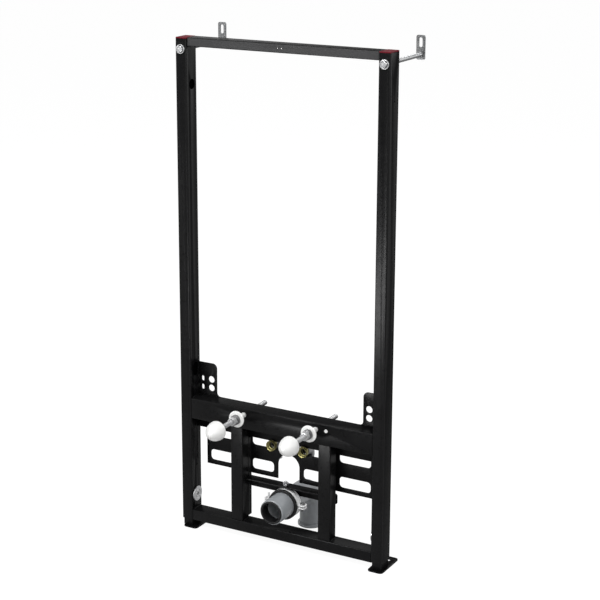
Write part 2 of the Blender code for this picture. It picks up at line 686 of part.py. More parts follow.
def build_studs():
    for side, sign in SIDES:
        x = sign * STUD_X
        center = (x, STUD_Z)
        rod = lathe([(0.0, STUD_FRONT_Y), (STUD_R, STUD_FRONT_Y), (STUD_R, STUD_BACK_Y),
                     (0.0, STUD_BACK_Y)], "y", center, 16, side)
        finish(rod, side + "_stud", "zinc")
        bore = STUD_R + GAP
        face = FLANGE_FACE_Y
        sleeve = lathe([(bore, face), (FLANGE_R, face), (FLANGE_R, face + FLANGE_T),
                        (SLEEVE_R, face + FLANGE_T), (SLEEVE_R, MID_RAIL_FRONT_Y - GAP),
                        (bore, MID_RAIL_FRONT_Y - GAP)], "y", center, 28, side)
        finish(sleeve, side + "_stud_sleeve", "white")
        seat = face - GAP
        nut = flange_nut("y", center, bore, NUT_R, WASHER_R, seat - WASHER_T - FRONT_NUT_T,
                         seat - WASHER_T, seat, side)
        finish(nut, side + "_stud_nut", "zinc")
        b0 = EAR_PLATE_Y + EAR_PLATE_T + GAP
        back = hex_nut("y", center, bore, NUT_R, b0, b0 + NUT_T, side)
        finish(back, side + "_stud_back_nut", "zinc")
        dome = STUD_CAP_DOME * (STUD_CAP_BACK_Y - STUD_CAP_TIP_Y)
        profile = [(0.0, STUD_CAP_TIP_Y)]
        for index in range(1, 8):
            angle = math.radians(90.0 * index / 7.0)
            profile.append((STUD_CAP_R * math.sin(angle),
                            STUD_CAP_TIP_Y + dome * (1.0 - math.cos(angle))))
        profile.append((STUD_CAP_R * STUD_CAP_TAPER, STUD_CAP_BACK_Y))
        profile.append((bore, STUD_CAP_BACK_Y))
        profile.append((bore, STUD_FRONT_Y - GAP))
        profile.append((0.0, STUD_FRONT_Y - GAP))
        cap = lathe(profile, "y", center, 28, side)
        finish(cap, side + "_stud_cap", "white")


def build_wall_arms():
    for side, sign in SIDES:
        x = sign * ARM_X
        center = (x, ARM_Z)
        head0 = -GAP - ARM_WASHER_T - ARM_HEAD_T
        rod0 = head0 + ARM_TIP_IN
        plate = prism(rounded_rect(x - 0.5 * ARM_PLATE_W, x + 0.5 * ARM_PLATE_W, ARM_PLATE_BOTTOM,
                                   ARM_PLATE_TOP, ARM_PLATE_CORNER, 3), "y", ARM_PLATE_Y,
                      ARM_PLATE_Y + ARM_PLATE_T, side)
        finish(plate, side + "_wall_arm", "zinc")
        add_piece(plate, lathe([(0.0, rod0), (ARM_R, rod0), (ARM_R, ARM_PLATE_Y + SUNK),
                                (0.0, ARM_PLATE_Y + SUNK)], "y", center, 14, side + "_rod"))
        bore = ARM_R + GAP
        seat = -GAP - ARM_WASHER_T
        nut = flange_nut("y", center, bore, ARM_HEAD_R, ARM_WASHER_R, head0, seat, -GAP, side)
        finish(nut, side + "_wall_arm_nut", "zinc")
        cut(plate, slot_cutter("y", x - 0.5 * ARM_SLOT_W, x + 0.5 * ARM_SLOT_W,
                               ARM_SLOT_Z - 0.5 * ARM_SLOT_H, ARM_SLOT_Z + 0.5 * ARM_SLOT_H,
                               0.49 * ARM_SLOT_W, ARM_PLATE_Y - REACH,
                               ARM_PLATE_Y + ARM_PLATE_T + REACH))


def build_legs():
    for side, sign in SIDES:
        mid = sign * UPRIGHT_MID_X
        inset = UPRIGHT_WALL + GAP
        half = 0.5 * UPRIGHT_W - inset
        leg = rect_tube(mid - half, mid + half, inset, UPRIGHT_D - inset, LEG_WALL, LEG_CORNER, "z",
                        LEG_BOTTOM, LEG_TOP, side, 1)
        finish(leg, side + "_leg", "coat")
        x = FOOT_XS[side]
        foot = prism(rounded_rect(x - 0.5 * FOOT_W, x + 0.5 * FOOT_W, FOOT_FRONT_Y, FOOT_BACK_Y,
                                  FOOT_CORNER, 4), "z", 0.0, FOOT_T, side)
        finish(foot, side + "_foot_plate", "coat")
        cut(foot, round_cutter("z", x, FOOT_HOLE_Y, FOOT_HOLE_R, -REACH, FOOT_T + REACH))
        face = sign * (UPRIGHT_IN_X - GAP)
        outer = face - sign * LOCK_DISC_T
        tip = sign * (UPRIGHT_IN_X + UPRIGHT_WALL - GAP)
        rim = outer + sign * LOCK_RIM
        floor = outer + sign * LOCK_SOCKET_DEPTH
        lock = lathe([(0.0, floor), (LOCK_SOCKET_R, floor), (LOCK_SOCKET_R, outer),
                      (LOCK_DISC_R - LOCK_RIM, outer), (LOCK_DISC_R, rim), (LOCK_DISC_R, face),
                      (LOCK_SHANK_R, face), (LOCK_SHANK_R, tip), (0.0, tip)], "x",
                     (LOCK_Y, LOCK_Z), 20, side)
        finish(lock, side + "_leg_lock", "zinc")


def build_waste():
    forward = Vector((0.0, 1.0, 0.0))
    stations = []

    def add(y, z, direction, radius, bore):
        stations.append((Vector((0.0, y, z)), direction, radius, bore))

    bore = PIPE_R - PIPE_WALL
    add(SOCKET_FRONT_Y, WASTE_Z, forward, SOCKET_R, SOCKET_R - PIPE_WALL)
    add(SOCKET_BACK_Y - SOCKET_TAPER, WASTE_Z, forward, SOCKET_R, SOCKET_R - PIPE_WALL)
    add(SOCKET_BACK_Y, WASTE_Z, forward, PIPE_R, bore)
    steps = 7
    for index in range(steps + 1):
        angle = math.radians(90.0 * index / steps)
        y = ELBOW_AXIS_Y - ELBOW_BEND + ELBOW_BEND * math.sin(angle)
        z = WASTE_Z - ELBOW_BEND + ELBOW_BEND * math.cos(angle)
        add(y, z, Vector((0.0, math.cos(angle), -math.sin(angle))), PIPE_R, bore)
    down = Vector((0.0, 0.0, -1.0))
    add(ELBOW_AXIS_Y, COLLAR_TOP_Z, down, PIPE_R, bore)
    add(ELBOW_AXIS_Y, COLLAR_TOP_Z - COLLAR_STEP, down, COLLAR_R, bore)
    add(ELBOW_AXIS_Y, SPIGOT_END_Z, down, COLLAR_R, bore)
    elbow = sweep_pipe(stations, 32, "waste")
    finish(elbow, "waste_elbow", "gray")
    plug = SOCKET_R - PIPE_WALL - GAP
    end = SOCKET_FRONT_Y + SEAL_DEPTH
    seal = lathe([(SEAL_MOUTH_R, SEAL_FRONT_Y), (SEAL_R - SEAL_EDGE, SEAL_FRONT_Y),
                  (SEAL_R, SEAL_FRONT_Y + SEAL_EDGE), (SEAL_R, SEAL_FACE_Y),
                  (plug, SEAL_FACE_Y), (plug, end), (SEAL_BORE_R, end), (SEAL_BORE_R, SEAL_STEP_Y)],
                 "y", (0.0, WASTE_Z), 32, "seal")
    finish(seal, "waste_seal", "rubber")


def band_outline(crown, sign):
    # Half a band round the waste with a flat ear at each end; crown is its radius between the ears.
    ear_top = CLAMP_HALF_GAP + EAR_T
    reach = BAND_RIM_R + EAR_OUT
    steps = 14
    start_in = math.asin(CLAMP_HALF_GAP / BAND_IN_R)
    start_out = math.asin(ear_top / BAND_OUT_R)
    points = [(reach, CLAMP_HALF_GAP), (reach, ear_top)]
    for index in range(steps + 1):
        angle = start_out + (math.pi - 2.0 * start_out) * index / steps
        radius = crown if 0 < index < steps else BAND_OUT_R
        points.append((radius * math.cos(angle), radius * math.sin(angle)))
    points.append((-reach, ear_top))
    points.append((-reach, CLAMP_HALF_GAP))
    for index in range(steps + 1):
        angle = math.pi - start_in - (math.pi - 2.0 * start_in) * index / steps
        points.append((BAND_IN_R * math.cos(angle), BAND_IN_R * math.sin(angle)))
    return [(a, WASTE_Z + sign * b) for a, b in points]


def build_clamp():
    liner = lathe([(LINER_IN_R, CLAMP_Y0 - LINER_LIP), (LINER_EDGE_R, CLAMP_Y0 - LINER_LIP),
                   (LINER_EDGE_R, CLAMP_Y0 - GAP), (LINER_OUT_R, CLAMP_Y0 - GAP),
                   (LINER_OUT_R, CLAMP_Y1 + GAP), (LINER_EDGE_R, CLAMP_Y1 + GAP),
                   (LINER_EDGE_R, CLAMP_Y1 + LINER_LIP), (LINER_IN_R, CLAMP_Y1 + LINER_LIP)],
                  "y", (0.0, WASTE_Z), 32, "liner")
    finish(liner, "clamp_liner", "rubber")
    ear_x = BAND_RIM_R + 0.5 * EAR_OUT
    for name, sign in (("clamp_upper", 1.0), ("clamp_lower", -1.0)):
        raised = band_outline(BAND_RIM_R, sign)
        plain = band_outline(BAND_OUT_R, sign)
        sections = [(raised, CLAMP_Y0), (raised, CLAMP_Y0 + BAND_RIM_W),
                    (plain, CLAMP_Y0 + BAND_RIM_W), (plain, CLAMP_Y1 - BAND_RIM_W),
                    (raised, CLAMP_Y1 - BAND_RIM_W), (raised, CLAMP_Y1)]
        band = finish(skin(sections, "y", name, False), name, "zinc")
        for side in (-1.0, 1.0):
            cut(band, round_cutter("z", side * ear_x, HANGER_Y, CLAMP_SCREW_HOLE_R,
                                   WASTE_Z - 2.0 * REACH, WASTE_Z + 2.0 * REACH, 12))
    seat = WASTE_Z + CLAMP_HALF_GAP + EAR_T + GAP
    end = WASTE_Z - CLAMP_HALF_GAP - EAR_T - CLAMP_SCREW_TIP
    for side, sign in SIDES:
        screw = lathe([(0.0, seat + CLAMP_HEAD_T), (CLAMP_HEAD_R, seat + CLAMP_HEAD_T),
                       (CLAMP_HEAD_R, seat), (CLAMP_SCREW_R, seat), (CLAMP_SCREW_R, end),
                       (0.0, end)], "z", (sign * ear_x, HANGER_Y), 12, side)
        finish(screw, side + "_clamp_screw", "zinc")
    neck = SHELF_LOW_Z - GAP
    tip = BAR_Z1 + HANGER_TIP
    bolt = lathe([(0.0, HANGER_BASE_Z), (HANGER_BOSS_R, HANGER_BASE_Z), (HANGER_BOSS_R, neck),
                  (HANGER_R, neck), (HANGER_R, tip), (0.0, tip)], "z", (0.0, HANGER_Y), 18, "bolt")
    finish(bolt, "hanger_bolt", "zinc")
    nut = hex_nut("z", (0.0, HANGER_Y), HANGER_R + GAP, HANGER_NUT_R, BAR_Z1 + GAP,
                  BAR_Z1 + GAP + HANGER_NUT_T, "nut")
    finish(nut, "hanger_nut", "zinc")


def build_water():
    forward = Vector((0.0, 1.0, 0.0))
    down = Vector((0.0, 0.0, -1.0))
    for side, sign in SIDES:
        x = sign * WATER_X
        stations = []

        def add(y, z, direction, radius, bore):
            stations.append((Vector((x, y, z)), direction, radius, bore))

        neck_y = EAR_PLATE_Y - GAP
        body_y = GRID_Y + GRID_T + GAP
        step = WATER_NECK_STEP
        add(WATER_FRONT_Y, WATER_Z, forward, WATER_R, WATER_BORE_R)
        add(neck_y, WATER_Z, forward, WATER_R, WATER_BORE_R)
        add(neck_y + step, WATER_Z, forward, WATER_NECK_R, WATER_BORE_R)
        add(body_y - step, WATER_Z, forward, WATER_NECK_R, WATER_BORE_R)
        add(body_y, WATER_Z, forward, WATER_BODY_R, WATER_BORE_R)
        steps = 4
        for index in range(steps + 1):
            angle = math.radians(90.0 * index / steps)
            y = WATER_AXIS_Y - WATER_BEND + WATER_BEND * math.sin(angle)
            z = WATER_Z - WATER_BEND + WATER_BEND * math.cos(angle)
            direction = Vector((0.0, math.cos(angle), -math.sin(angle)))
            add(y, z, direction, WATER_BODY_R, WATER_BORE_R)
        add(WATER_AXIS_Y, WATER_LEG_Z, down, WATER_BODY_R, WATER_BORE_R)
        elbow = sweep_pipe(stations, 20, side)
        finish(elbow, side + "_water_elbow", "brass")
        union = hex_nut("z", (x, WATER_AXIS_Y), WATER_BORE_R, UNION_R, UNION_END_Z, UNION_TOP_Z, side)
        finish(union, side + "_water_union", "zinc")


build_uprights()
build_end_caps()
build_rails()
build_posts()
build_ear_plate()
build_grid_plate()
build_bar()
build_studs()
build_wall_arms()
build_legs()
build_waste()
build_clamp()
build_water()

ROUND = ("stud", "water_elbow", "waste", "liner", "clamp_upper", "clamp_lower", "wall_arm", "hanger",
         "leg_lock", "screw")
for obj in main.objects:
    smooth = any(word in obj.name for word in ROUND)
    for face in obj.data.polygons:
        face.use_smooth = smooth
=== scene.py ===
# Looks of the bidet installation frame: finer pieces over the CAD nodes, materials, light and camera.
import math
import bpy
import bmesh
from mathutils import Matrix, Vector


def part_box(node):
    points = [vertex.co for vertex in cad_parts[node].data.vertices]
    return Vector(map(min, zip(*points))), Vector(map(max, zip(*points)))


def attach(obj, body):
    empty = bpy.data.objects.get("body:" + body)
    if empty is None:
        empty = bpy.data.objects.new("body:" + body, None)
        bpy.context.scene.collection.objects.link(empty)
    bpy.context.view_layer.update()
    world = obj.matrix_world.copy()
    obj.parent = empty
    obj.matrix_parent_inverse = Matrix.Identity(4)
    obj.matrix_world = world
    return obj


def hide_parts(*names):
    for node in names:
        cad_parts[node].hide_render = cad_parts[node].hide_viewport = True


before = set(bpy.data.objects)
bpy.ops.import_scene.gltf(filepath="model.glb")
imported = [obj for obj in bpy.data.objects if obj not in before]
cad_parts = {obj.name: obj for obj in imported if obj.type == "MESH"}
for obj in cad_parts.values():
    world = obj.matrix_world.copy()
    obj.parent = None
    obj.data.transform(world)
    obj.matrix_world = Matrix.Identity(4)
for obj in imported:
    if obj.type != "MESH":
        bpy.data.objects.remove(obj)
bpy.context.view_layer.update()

# Sizes in metres, as in the CAD source: depths from the front face of the uprights, x from the middle.
GAP = 0.0003
HALF_WIDTH = 0.254
TOP_Z = 1.1205
UP_W, UP_D, UP_WALL, UP_BOTTOM, UP_CORNER = 0.027, 0.041, 0.002, 0.0195, 0.003
UP_IN = HALF_WIDTH - UP_W
UP_MID = HALF_WIDTH - 0.5 * UP_W
UPPER_HOLE_Z = 1.019
CAP_T = 0.0025
# Front, back, bottom and top of each rail.
TOP_RAIL = (0.005, 0.0395, 1.1015, 1.1205)
MID_RAIL = (0.0015, 0.0395, 0.2645, 0.3130)
LOW_RAIL = (0.0015, 0.0385, 0.0175, 0.0430)
RAIL_HALF = UP_IN - GAP
RAIL_WALL, RAIL_CORNER = 0.0018, 0.0025
TINY_XS, TINY_Z = (-0.007, 0.0025), 1.111
POST_X, POST_W, POST_Y0, POST_Y1 = 0.0955, 0.030, 0.0035, 0.0325
EAR_HALF, EAR_Y0, EAR_Y1 = 0.250, 0.0413, 0.0443
EAR_BOTTOM, EAR_MID, EAR_TOP = 0.233, 0.312, 0.388
EAR_IN, EAR_CORNER, EAR_FILLET = 0.184, 0.011, 0.009
EAR_HOLE_X, EAR_SLOT_X, EAR_HOLE_ZS = 0.198, 0.2205, (0.350, 0.330)
GRID_HALF, GRID_Y0, GRID_Y1 = 0.213, 0.0446, 0.0471
GRID_BOTTOM, GRID_TOP = 0.146, 0.282
ARCH_R, ARCH_TOP = 0.027, 0.2065
SLOT_H, SLOT_CORNER = 0.025, 0.0085
LOCK_Y, LOCK_Z = 0.0205, 0.077
FOOT_X = {"left": -0.232, "right": 0.239}
FOOT_T = 0.003
STUD_X, SPARE_X, STUD_Z = 0.090, 0.115, 0.298
STUD_R, STUD_Y0, STUD_Y1 = 0.0054, -0.120, 0.098
STUD_HOLE_R = 0.0066
FLANGE_Y = -0.031
ARM_Z, ARM_R = 1.0955, 0.0048
PLATE_Y0, PLATE_Y1 = 0.168, 0.171
WASTE_Z = 0.098
SOCKET_R, SOCKET_Y0, SOCKET_Y1 = 0.0285, -0.0330, 0.055
PIPE_R, PIPE_WALL, AXIS_Y, BEND = 0.025, 0.0028, 0.148, 0.040
PIPE_BORE = PIPE_R - PIPE_WALL
SOCKET_BORE = SOCKET_R - PIPE_WALL
SEAL_Y0, SEAL_Y1 = -0.036, -0.010
CLAMP_Y0, CLAMP_Y1 = 0.0225, 0.0405
CLAMP_MID = 0.5 * (CLAMP_Y0 + CLAMP_Y1)
BAND_R0, BAND_R1, BAND_R2 = 0.0319, 0.0339, 0.0349
SCREW_X, SCREW_SEAT, SCREW_HEAD = BAND_R2 + 0.008, 0.0046, 0.004
BAR_HALF, BAR_T, BAR_HOLE_R = 0.122, 0.0025, 0.030
SHELF_HALF, SHELF_Z, BAR_Z0, BAR_Z1 = 0.094, 0.1365, 0.1145, 0.1390
WATER_X, WATER_Z, WATER_Y0, WATER_AXIS = 0.0397, 0.2238, 0.0330, 0.0703
WATER_R, WATER_BORE, WATER_BEND, UNION_TOP = 0.0105, 0.0065, 0.012, WATER_Z - 0.0201
SIDES = (("left", -1.0), ("right", 1.0))
# From the script's own places to the frame's.
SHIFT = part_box("left_upright")[0] - Vector((-HALF_WIDTH, 0.0, UP_BOTTOM))


# Node helpers
def new_material(name):
    mat = bpy.data.materials.new(name)
    mat.use_nodes = True
    tree = mat.node_tree
    shader = tree.nodes["Principled BSDF"]
    return mat, tree, shader


def noise(tree, scale, detail=2.0, rough=0.5):
    coords = tree.nodes.new("ShaderNodeTexCoord")
    tex = tree.nodes.new("ShaderNodeTexNoise")
    tex.inputs["Scale"].default_value = scale
    tex.inputs["Detail"].default_value = detail
    tex.inputs["Roughness"].default_value = rough
    tree.links.new(coords.outputs["Object"], tex.inputs["Vector"])
    return tex.outputs["Fac"]


def spread(tree, fac, low, high, out_low, out_high):
    node = tree.nodes.new("ShaderNodeMapRange")
    for key, value in (("From Min", low), ("From Max", high), ("To Min", out_low), ("To Max", out_high)):
        node.inputs[key].default_value = value
    tree.links.new(fac, node.inputs["Value"])
    return node.outputs["Result"]


def blend(tree, fac, one, two, low=0.0, high=1.0):
    # Mixes from one to two as fac goes from low to high.
    node = tree.nodes.new("ShaderNodeMix")
    node.data_type = "RGBA"
    tree.links.new(spread(tree, fac, low, high, 0.0, 1.0), node.inputs["Factor"])
    for socket, value in ((node.inputs["A"], one), (node.inputs["B"], two)):
        if isinstance(value, tuple):
            socket.default_value = (*value, 1.0)
        else:
            tree.links.new(value, socket)
    return node.outputs["Result"]


def bump(tree, shader, height, distance, before=None):
    node = tree.nodes.new("ShaderNodeBump")
    node.inputs["Distance"].default_value = distance
    node.inputs["Strength"].default_value = 1.0
    tree.links.new(height, node.inputs["Height"])
    if before is not None:
        tree.links.new(before, node.inputs["Normal"])
    tree.links.new(node.outputs["Normal"], shader.inputs["Normal"])
    return node.outputs["Normal"]


def roughness(tree, shader, fac, low, high):
    tree.links.new(spread(tree, fac, 0.3, 0.7, low, high), shader.inputs["Roughness"])


def normal_part(tree, axis):
    geo = tree.nodes.new("ShaderNodeNewGeometry")
    split = tree.nodes.new("ShaderNodeSeparateXYZ")
    tree.links.new(geo.outputs["Normal"], split.inputs["Vector"])
    return split.outputs[axis]


def matt_sheen(tree, shader, level):
    # A matt surface keeps little gloss where it is seen at a low angle.
    angle = tree.nodes.new("ShaderNodeLayerWeight")
    sheen = spread(tree, angle.outputs["Facing"], 0.49, 0.58, level, 0.06 * level)
    tree.links.new(sheen, shader.inputs["Specular IOR Level"])


# Materials
def coat_material(name, dark, light, front=None):
    # front: a lighter tone painted on the faces that look to the front, a painted reflection.
    mat, tree, shader = new_material(name)
    matt_sheen(tree, shader, 0.065)
    body = blend(tree, noise(tree, 18.0, 3.0), dark, light, 0.35, 0.65)
    if front:
        # Faces that look to the front take the front tone, mottled by noise: a painted reflection.
        painted_front_reflection = blend(tree, noise(tree, 9.0, 4.0), front, tuple(1.2 * part for part in front), 0.3, 0.7)
        body = blend(tree, normal_part(tree, "Y"), painted_front_reflection, body, -0.97, -0.75)
    geo = tree.nodes.new("ShaderNodeNewGeometry")
    # Sharp edges turn lighter: partly wear of the coat, partly a painted highlight.
    edge_bare_and_highlit = tuple(part + 0.026 for part in light)
    edge_wear_and_highlight = blend(tree, geo.outputs["Pointiness"], body, edge_bare_and_highlit, 0.54, 0.63)
    tree.links.new(edge_wear_and_highlight, shader.inputs["Base Color"])
    roughness(tree, shader, noise(tree, 60.0, 3.0), 0.25, 0.34)
    peel = bump(tree, shader, noise(tree, 700.0, 2.0), 0.00004)
    bump(tree, shader, noise(tree, 3500.0, 1.0), 0.00001, peel)
    return mat


def zinc_material(name, dark, light, rough, metal=1.0):
    # Faces that look down are darker: a painted shade.
    mat, tree, shader = new_material(name)
    shader.inputs["Metallic"].default_value = metal
    tone = blend(tree, noise(tree, 260.0, 3.0), dark, light, 0.35, 0.65)
    painted_shade_tone = tuple(0.45 * part for part in dark)
    tone = blend(tree, normal_part(tree, "Z"), painted_shade_tone, tone, -0.7, 0.25)
    tree.links.new(tone, shader.inputs["Base Color"])
    roughness(tree, shader, noise(tree, 420.0, 3.0), rough - 0.05, rough + 0.06)
    bump(tree, shader, noise(tree, 1600.0, 2.0), 0.000012)
    return mat


def plastic_material(name, dark, light, rough, grain, gloss=0.5):
    mat, tree, shader = new_material(name)
    if gloss < 0.3:
        matt_sheen(tree, shader, gloss)
    else:
        shader.inputs["Specular IOR Level"].default_value = gloss
    tone = blend(tree, noise(tree, 40.0, 2.0), dark, light, 0.3, 0.7)
    tree.links.new(tone, shader.inputs["Base Color"])
    roughness(tree, shader, noise(tree, 150.0, 2.0), rough - 0.04, rough + 0.05)
    bump(tree, shader, noise(tree, 2400.0, 2.0), grain)
    return mat


def brass_material():
    mat, tree, shader = new_material("cast_brass")
    shader.inputs["Metallic"].default_value = 1.0
    patch = noise(tree, 180.0, 4.0, 0.6)
    tone = blend(tree, patch, (0.115, 0.103, 0.040), (0.200, 0.182, 0.076), 0.35, 0.65)
    tree.links.new(tone, shader.inputs["Base Color"])
    roughness(tree, shader, patch, 0.42, 0.28)
    bump(tree, shader, noise(tree, 1300.0, 3.0), 0.00006)
    return mat


COAT_DARK, COAT_LIGHT = (0.0030, 0.0030, 0.0032), (0.0046, 0.0046, 0.0049)
MATERIALS = {
    "coat": coat_material("powder_coat", COAT_DARK, COAT_LIGHT),
    # The top rail's coat carries a painted reflection on its front faces.
    "upper_coat_painted_sheen": coat_material("upper_coat_painted_sheen", COAT_DARK, COAT_LIGHT, (0.050, 0.050, 0.051)),
    "zinc": zinc_material("zinc_plate", (0.30, 0.305, 0.315), (0.41, 0.41, 0.41), 0.30),
    "band": zinc_material("band_zinc", (0.76, 0.77, 0.78), (0.86, 0.86, 0.86), 0.42, 0.15),
    "steel": zinc_material("nut_zinc", (0.36, 0.365, 0.375), (0.46, 0.46, 0.46), 0.32, 0.65),
    "bracket": zinc_material("bracket_zinc", (0.15, 0.155, 0.16), (0.21, 0.21, 0.21), 0.38),
    "red": plastic_material("red_plastic", (0.085, 0.004, 0.009), (0.125, 0.006, 0.013), 0.40, 0.00002, 0.10),
    "white": plastic_material("white_plastic", (0.79, 0.79, 0.78), (0.84, 0.84, 0.83), 0.38, 0.00001),
    "brass": brass_material(),
    "gray": plastic_material("gray_plastic", (0.262, 0.276, 0.290), (0.298, 0.313, 0.330), 0.42, 0.00002),
    "pale": plastic_material("pale_plastic", (0.52, 0.54, 0.56), (0.58, 0.60, 0.62), 0.50, 0.00002),
    "rubber": plastic_material("rubber", (0.006, 0.006, 0.0065), (0.010, 0.010, 0.0105), 0.50, 0.00003, 0.13),
}

# Mesh helpers: outlines are points (a, b) in the plane across the axis, t is the place along it.
AXES = {
    "x": lambda a, b, t: (t, a, b),
    "y": lambda a, b, t: (a, t, b),
    "z": lambda a, b, t: (a, b, t),
}


def arc(ca, cb, radius, start, end, steps):
    angles = [math.radians(start + (end - start) * k / steps) for k in range(steps + 1)]
    return [(ca + radius * math.cos(angle), cb + radius * math.sin(angle)) for angle in angles]


def circle(ca, cb, radius, count=64):
    return arc(ca, cb, radius, 0.0, 360.0, count)[:-1]


def rounded_rect(a0, a1, b0, b1, radius, steps=8):
    a0, a1 = min(a0, a1), max(a0, a1)
    points = []
    for ca, cb, start in ((a1 - radius, b1 - radius, 0.0), (a0 + radius, b1 - radius, 90.0),
                          (a0 + radius, b0 + radius, 180.0), (a1 - radius, b0 + radius, 270.0)):
        points += arc(ca, cb, radius, start, start + 90.0, steps)
    return points


def hexagon(ca, cb, radius, limit, count=72, phase=0.0):
    # Hexagon of the corner radius, with its corners cut back to the limit radius.
    flat = radius * math.cos(math.radians(30.0))
    points = []
    for index in range(count):
        angle = 2.0 * math.pi * index / count
        inside = math.fmod(angle, math.radians(60.0)) - math.radians(30.0)
        reach = min(flat / math.cos(inside), limit)
        points.append((ca + reach * math.cos(angle + phase), cb + reach * math.sin(angle + phase)))
    return points


def inset(points, distance):
    # Moves a counter-clockwise outline inwards by distance.
    if distance == 0.0:
        return list(points)
    out = []
    count = len(points)
    for index in range(count):
        before, here, after = points[index - 1], points[index], points[(index + 1) % count]
        one = Vector((here[0] - before[0], here[1] - before[1])).normalized()
        two = Vector((after[0] - here[0], after[1] - here[1])).normalized()
        normal = Vector((-one.y - two.y, one.x + two.x)) / max(1.0 + one.dot(two), 0.3)
        out.append((here[0] + distance * normal.x, here[1] + distance * normal.y))
    return out


def join(bm, loops, closed=False):
    # Faces between loops of like count; closed also joins the last one to the first.
    pairs = list(zip(loops, loops[1:]))
    if closed:
        pairs.append((loops[-1], loops[0]))
    for first, second in pairs:
        for index in range(len(first)):
            after = (index + 1) % len(first)
            bm.faces.new((first[index], first[after], second[after], second[index]))


def loft(bm, sections, axis, closed=False, caps=True):
    # sections: (outline, place along the axis).
    place = AXES[axis]
    loops = [[bm.verts.new(place(a, b, t)) for a, b in outline] for outline, t in sections]
    join(bm, loops, closed)
    if caps and not closed:
        bm.faces.new(loops[0])
        bm.faces.new(loops[-1])
    return loops


def lathe(bm, profile, axis, center, count=64):
    # profile: (radius, place along the axis); radius 0 is a pole; a profile without poles is closed.
    place = AXES[axis]
    rings = []
    for radius, along in profile:
        points = circle(*center, radius, count) if radius > 0.0 else [center]
        rings.append([bm.verts.new(place(a, b, along)) for a, b in points])
    total = len(rings)
    for step in range(total if profile[0][0] > 0.0 else total - 1):
        first, second = rings[step], rings[(step + 1) % total]
        if len(first) == len(second):
            join(bm, [first, second])
            continue
        for index in range(count):
            after = (index + 1) % count
            if len(first) == 1:
                bm.faces.new((first[0], second[after], second[index]))
            else:
                bm.faces.new((first[index], first[after], second[0]))


def rounded(profile, radius, steps=4):
    # Rounds the corners of a closed (radius, along) profile; corners on the axis stay.
    out = []
    count = len(profile)
    for index in range(count):
        here = Vector(profile[index])
        if here.x <= 0.0:
            out.append(tuple(here))
            continue
        before, after = Vector(profile[index - 1]), Vector(profile[(index + 1) % count])
        reach = min(radius, 0.45 * (before - here).length, 0.45 * (after - here).length)
        start = here + (before - here).normalized() * reach
        end = here + (after - here).normalized() * reach
        for step in range(steps + 1):
            t = step / steps
            out.append(tuple(start * (1 - t) ** 2 + here * 2 * t * (1 - t) + end * t ** 2))
    return out


def edge_steps(edge, steps=3):
    # Steps (inwards, upwards) of a rounded edge.
    angles = [math.radians(90.0 * k / steps) for k in range(steps + 1)]
    return [(edge * (1.0 - math.sin(angle)), edge * (1.0 - math.cos(angle))) for angle in angles]


def plate(bm, outlines, axis, t0, t1, edge=0.0004):
    # Flat plate with rounded edges; the first outline is its rim, the others are holes.
    low_edges, high_edges = [], []
    for number, outline in enumerate(outlines):
        sign = 1.0 if number == 0 else -1.0
        sections = [(inset(outline, sign * off), t0 + up) for off, up in edge_steps(edge)]
        sections += [(inset(outline, sign * off), t1 - up) for off, up in reversed(edge_steps(edge))]
        loops = loft(bm, sections, axis, caps=False)
        for loop, store in ((loops[0], low_edges), (loops[-1], high_edges)):
            for index in range(len(loop)):
                store.append(bm.edges.get((loop[index], loop[(index + 1) % len(loop)])))
    for store in (low_edges, high_edges):
        bmesh.ops.triangle_fill(bm, edges=store, use_beauty=True, use_dissolve=False)


def tube(bm, outer, inner, axis, t0, t1, edge=0.0003):
    steps = edge_steps(edge, 2)
    sections = [(inset(outer, off), t0 + up) for off, up in steps]
    sections += [(inset(outer, off), t1 - up) for off, up in reversed(steps)]
    sections += [(inset(inner, -off), t1 - up) for off, up in steps]
    sections += [(inset(inner, -off), t0 + up) for off, up in reversed(steps)]
    loft(bm, sections, axis, closed=True)


def box_tube(bm, a0, a1, b0, b1, wall, radius, axis, t0, t1):
    a0, a1 = min(a0, a1), max(a0, a1)
    outer = rounded_rect(a0, a1, b0, b1, radius)
    inner = rounded_rect(a0 + wall, a1 - wall, b0 + wall, b1 - wall, max(radius - wall, 0.0006))
    tube(bm, outer, inner, axis, t0, t1)


def thread(bm, axis, center, t0, t1, radius, pitch, depth, steps=20, chamfer=0.0012):
    # Helical V thread from t0 to t1 with a chamfered end face on both ends.
    place = AXES[axis]
    root, tip = radius - depth, radius - 0.8 * chamfer
    shape = ((0.0, root), (0.12, root), (0.44, radius), (0.56, radius), (0.88, root))
    turns = int((t1 - t0) / pitch) + 2
    rows = []
    for index in range(turns * steps + 1):
        angle = 2.0 * math.pi * index / steps
        row = []
        for part, reach in shape:
            along = min(max(t0 - pitch + pitch * (index / steps + part), t0), t1)
            reach = min(reach, tip + min(along - t0, t1 - along))
            a = center[0] + reach * math.cos(angle)
            b = center[1] + reach * math.sin(angle)
            row.append(bm.verts.new(place(a, b, along)))
        rows.append(row)
    for index in range(len(rows) - 1):
        one, two = rows[index], rows[index + 1]
        for part in range(len(shape) - 1):
            bm.faces.new((one[part], one[part + 1], two[part + 1], two[part]))
        if index + steps + 1 < len(rows):
            up_one, up_two = rows[index + steps], rows[index + steps + 1]
            bm.faces.new((one[-1], up_one[0], up_two[0], two[-1]))
    lathe(bm, [(0.0, t0), (tip, t0), (tip, t1), (0.0, t1)], axis, center, steps)


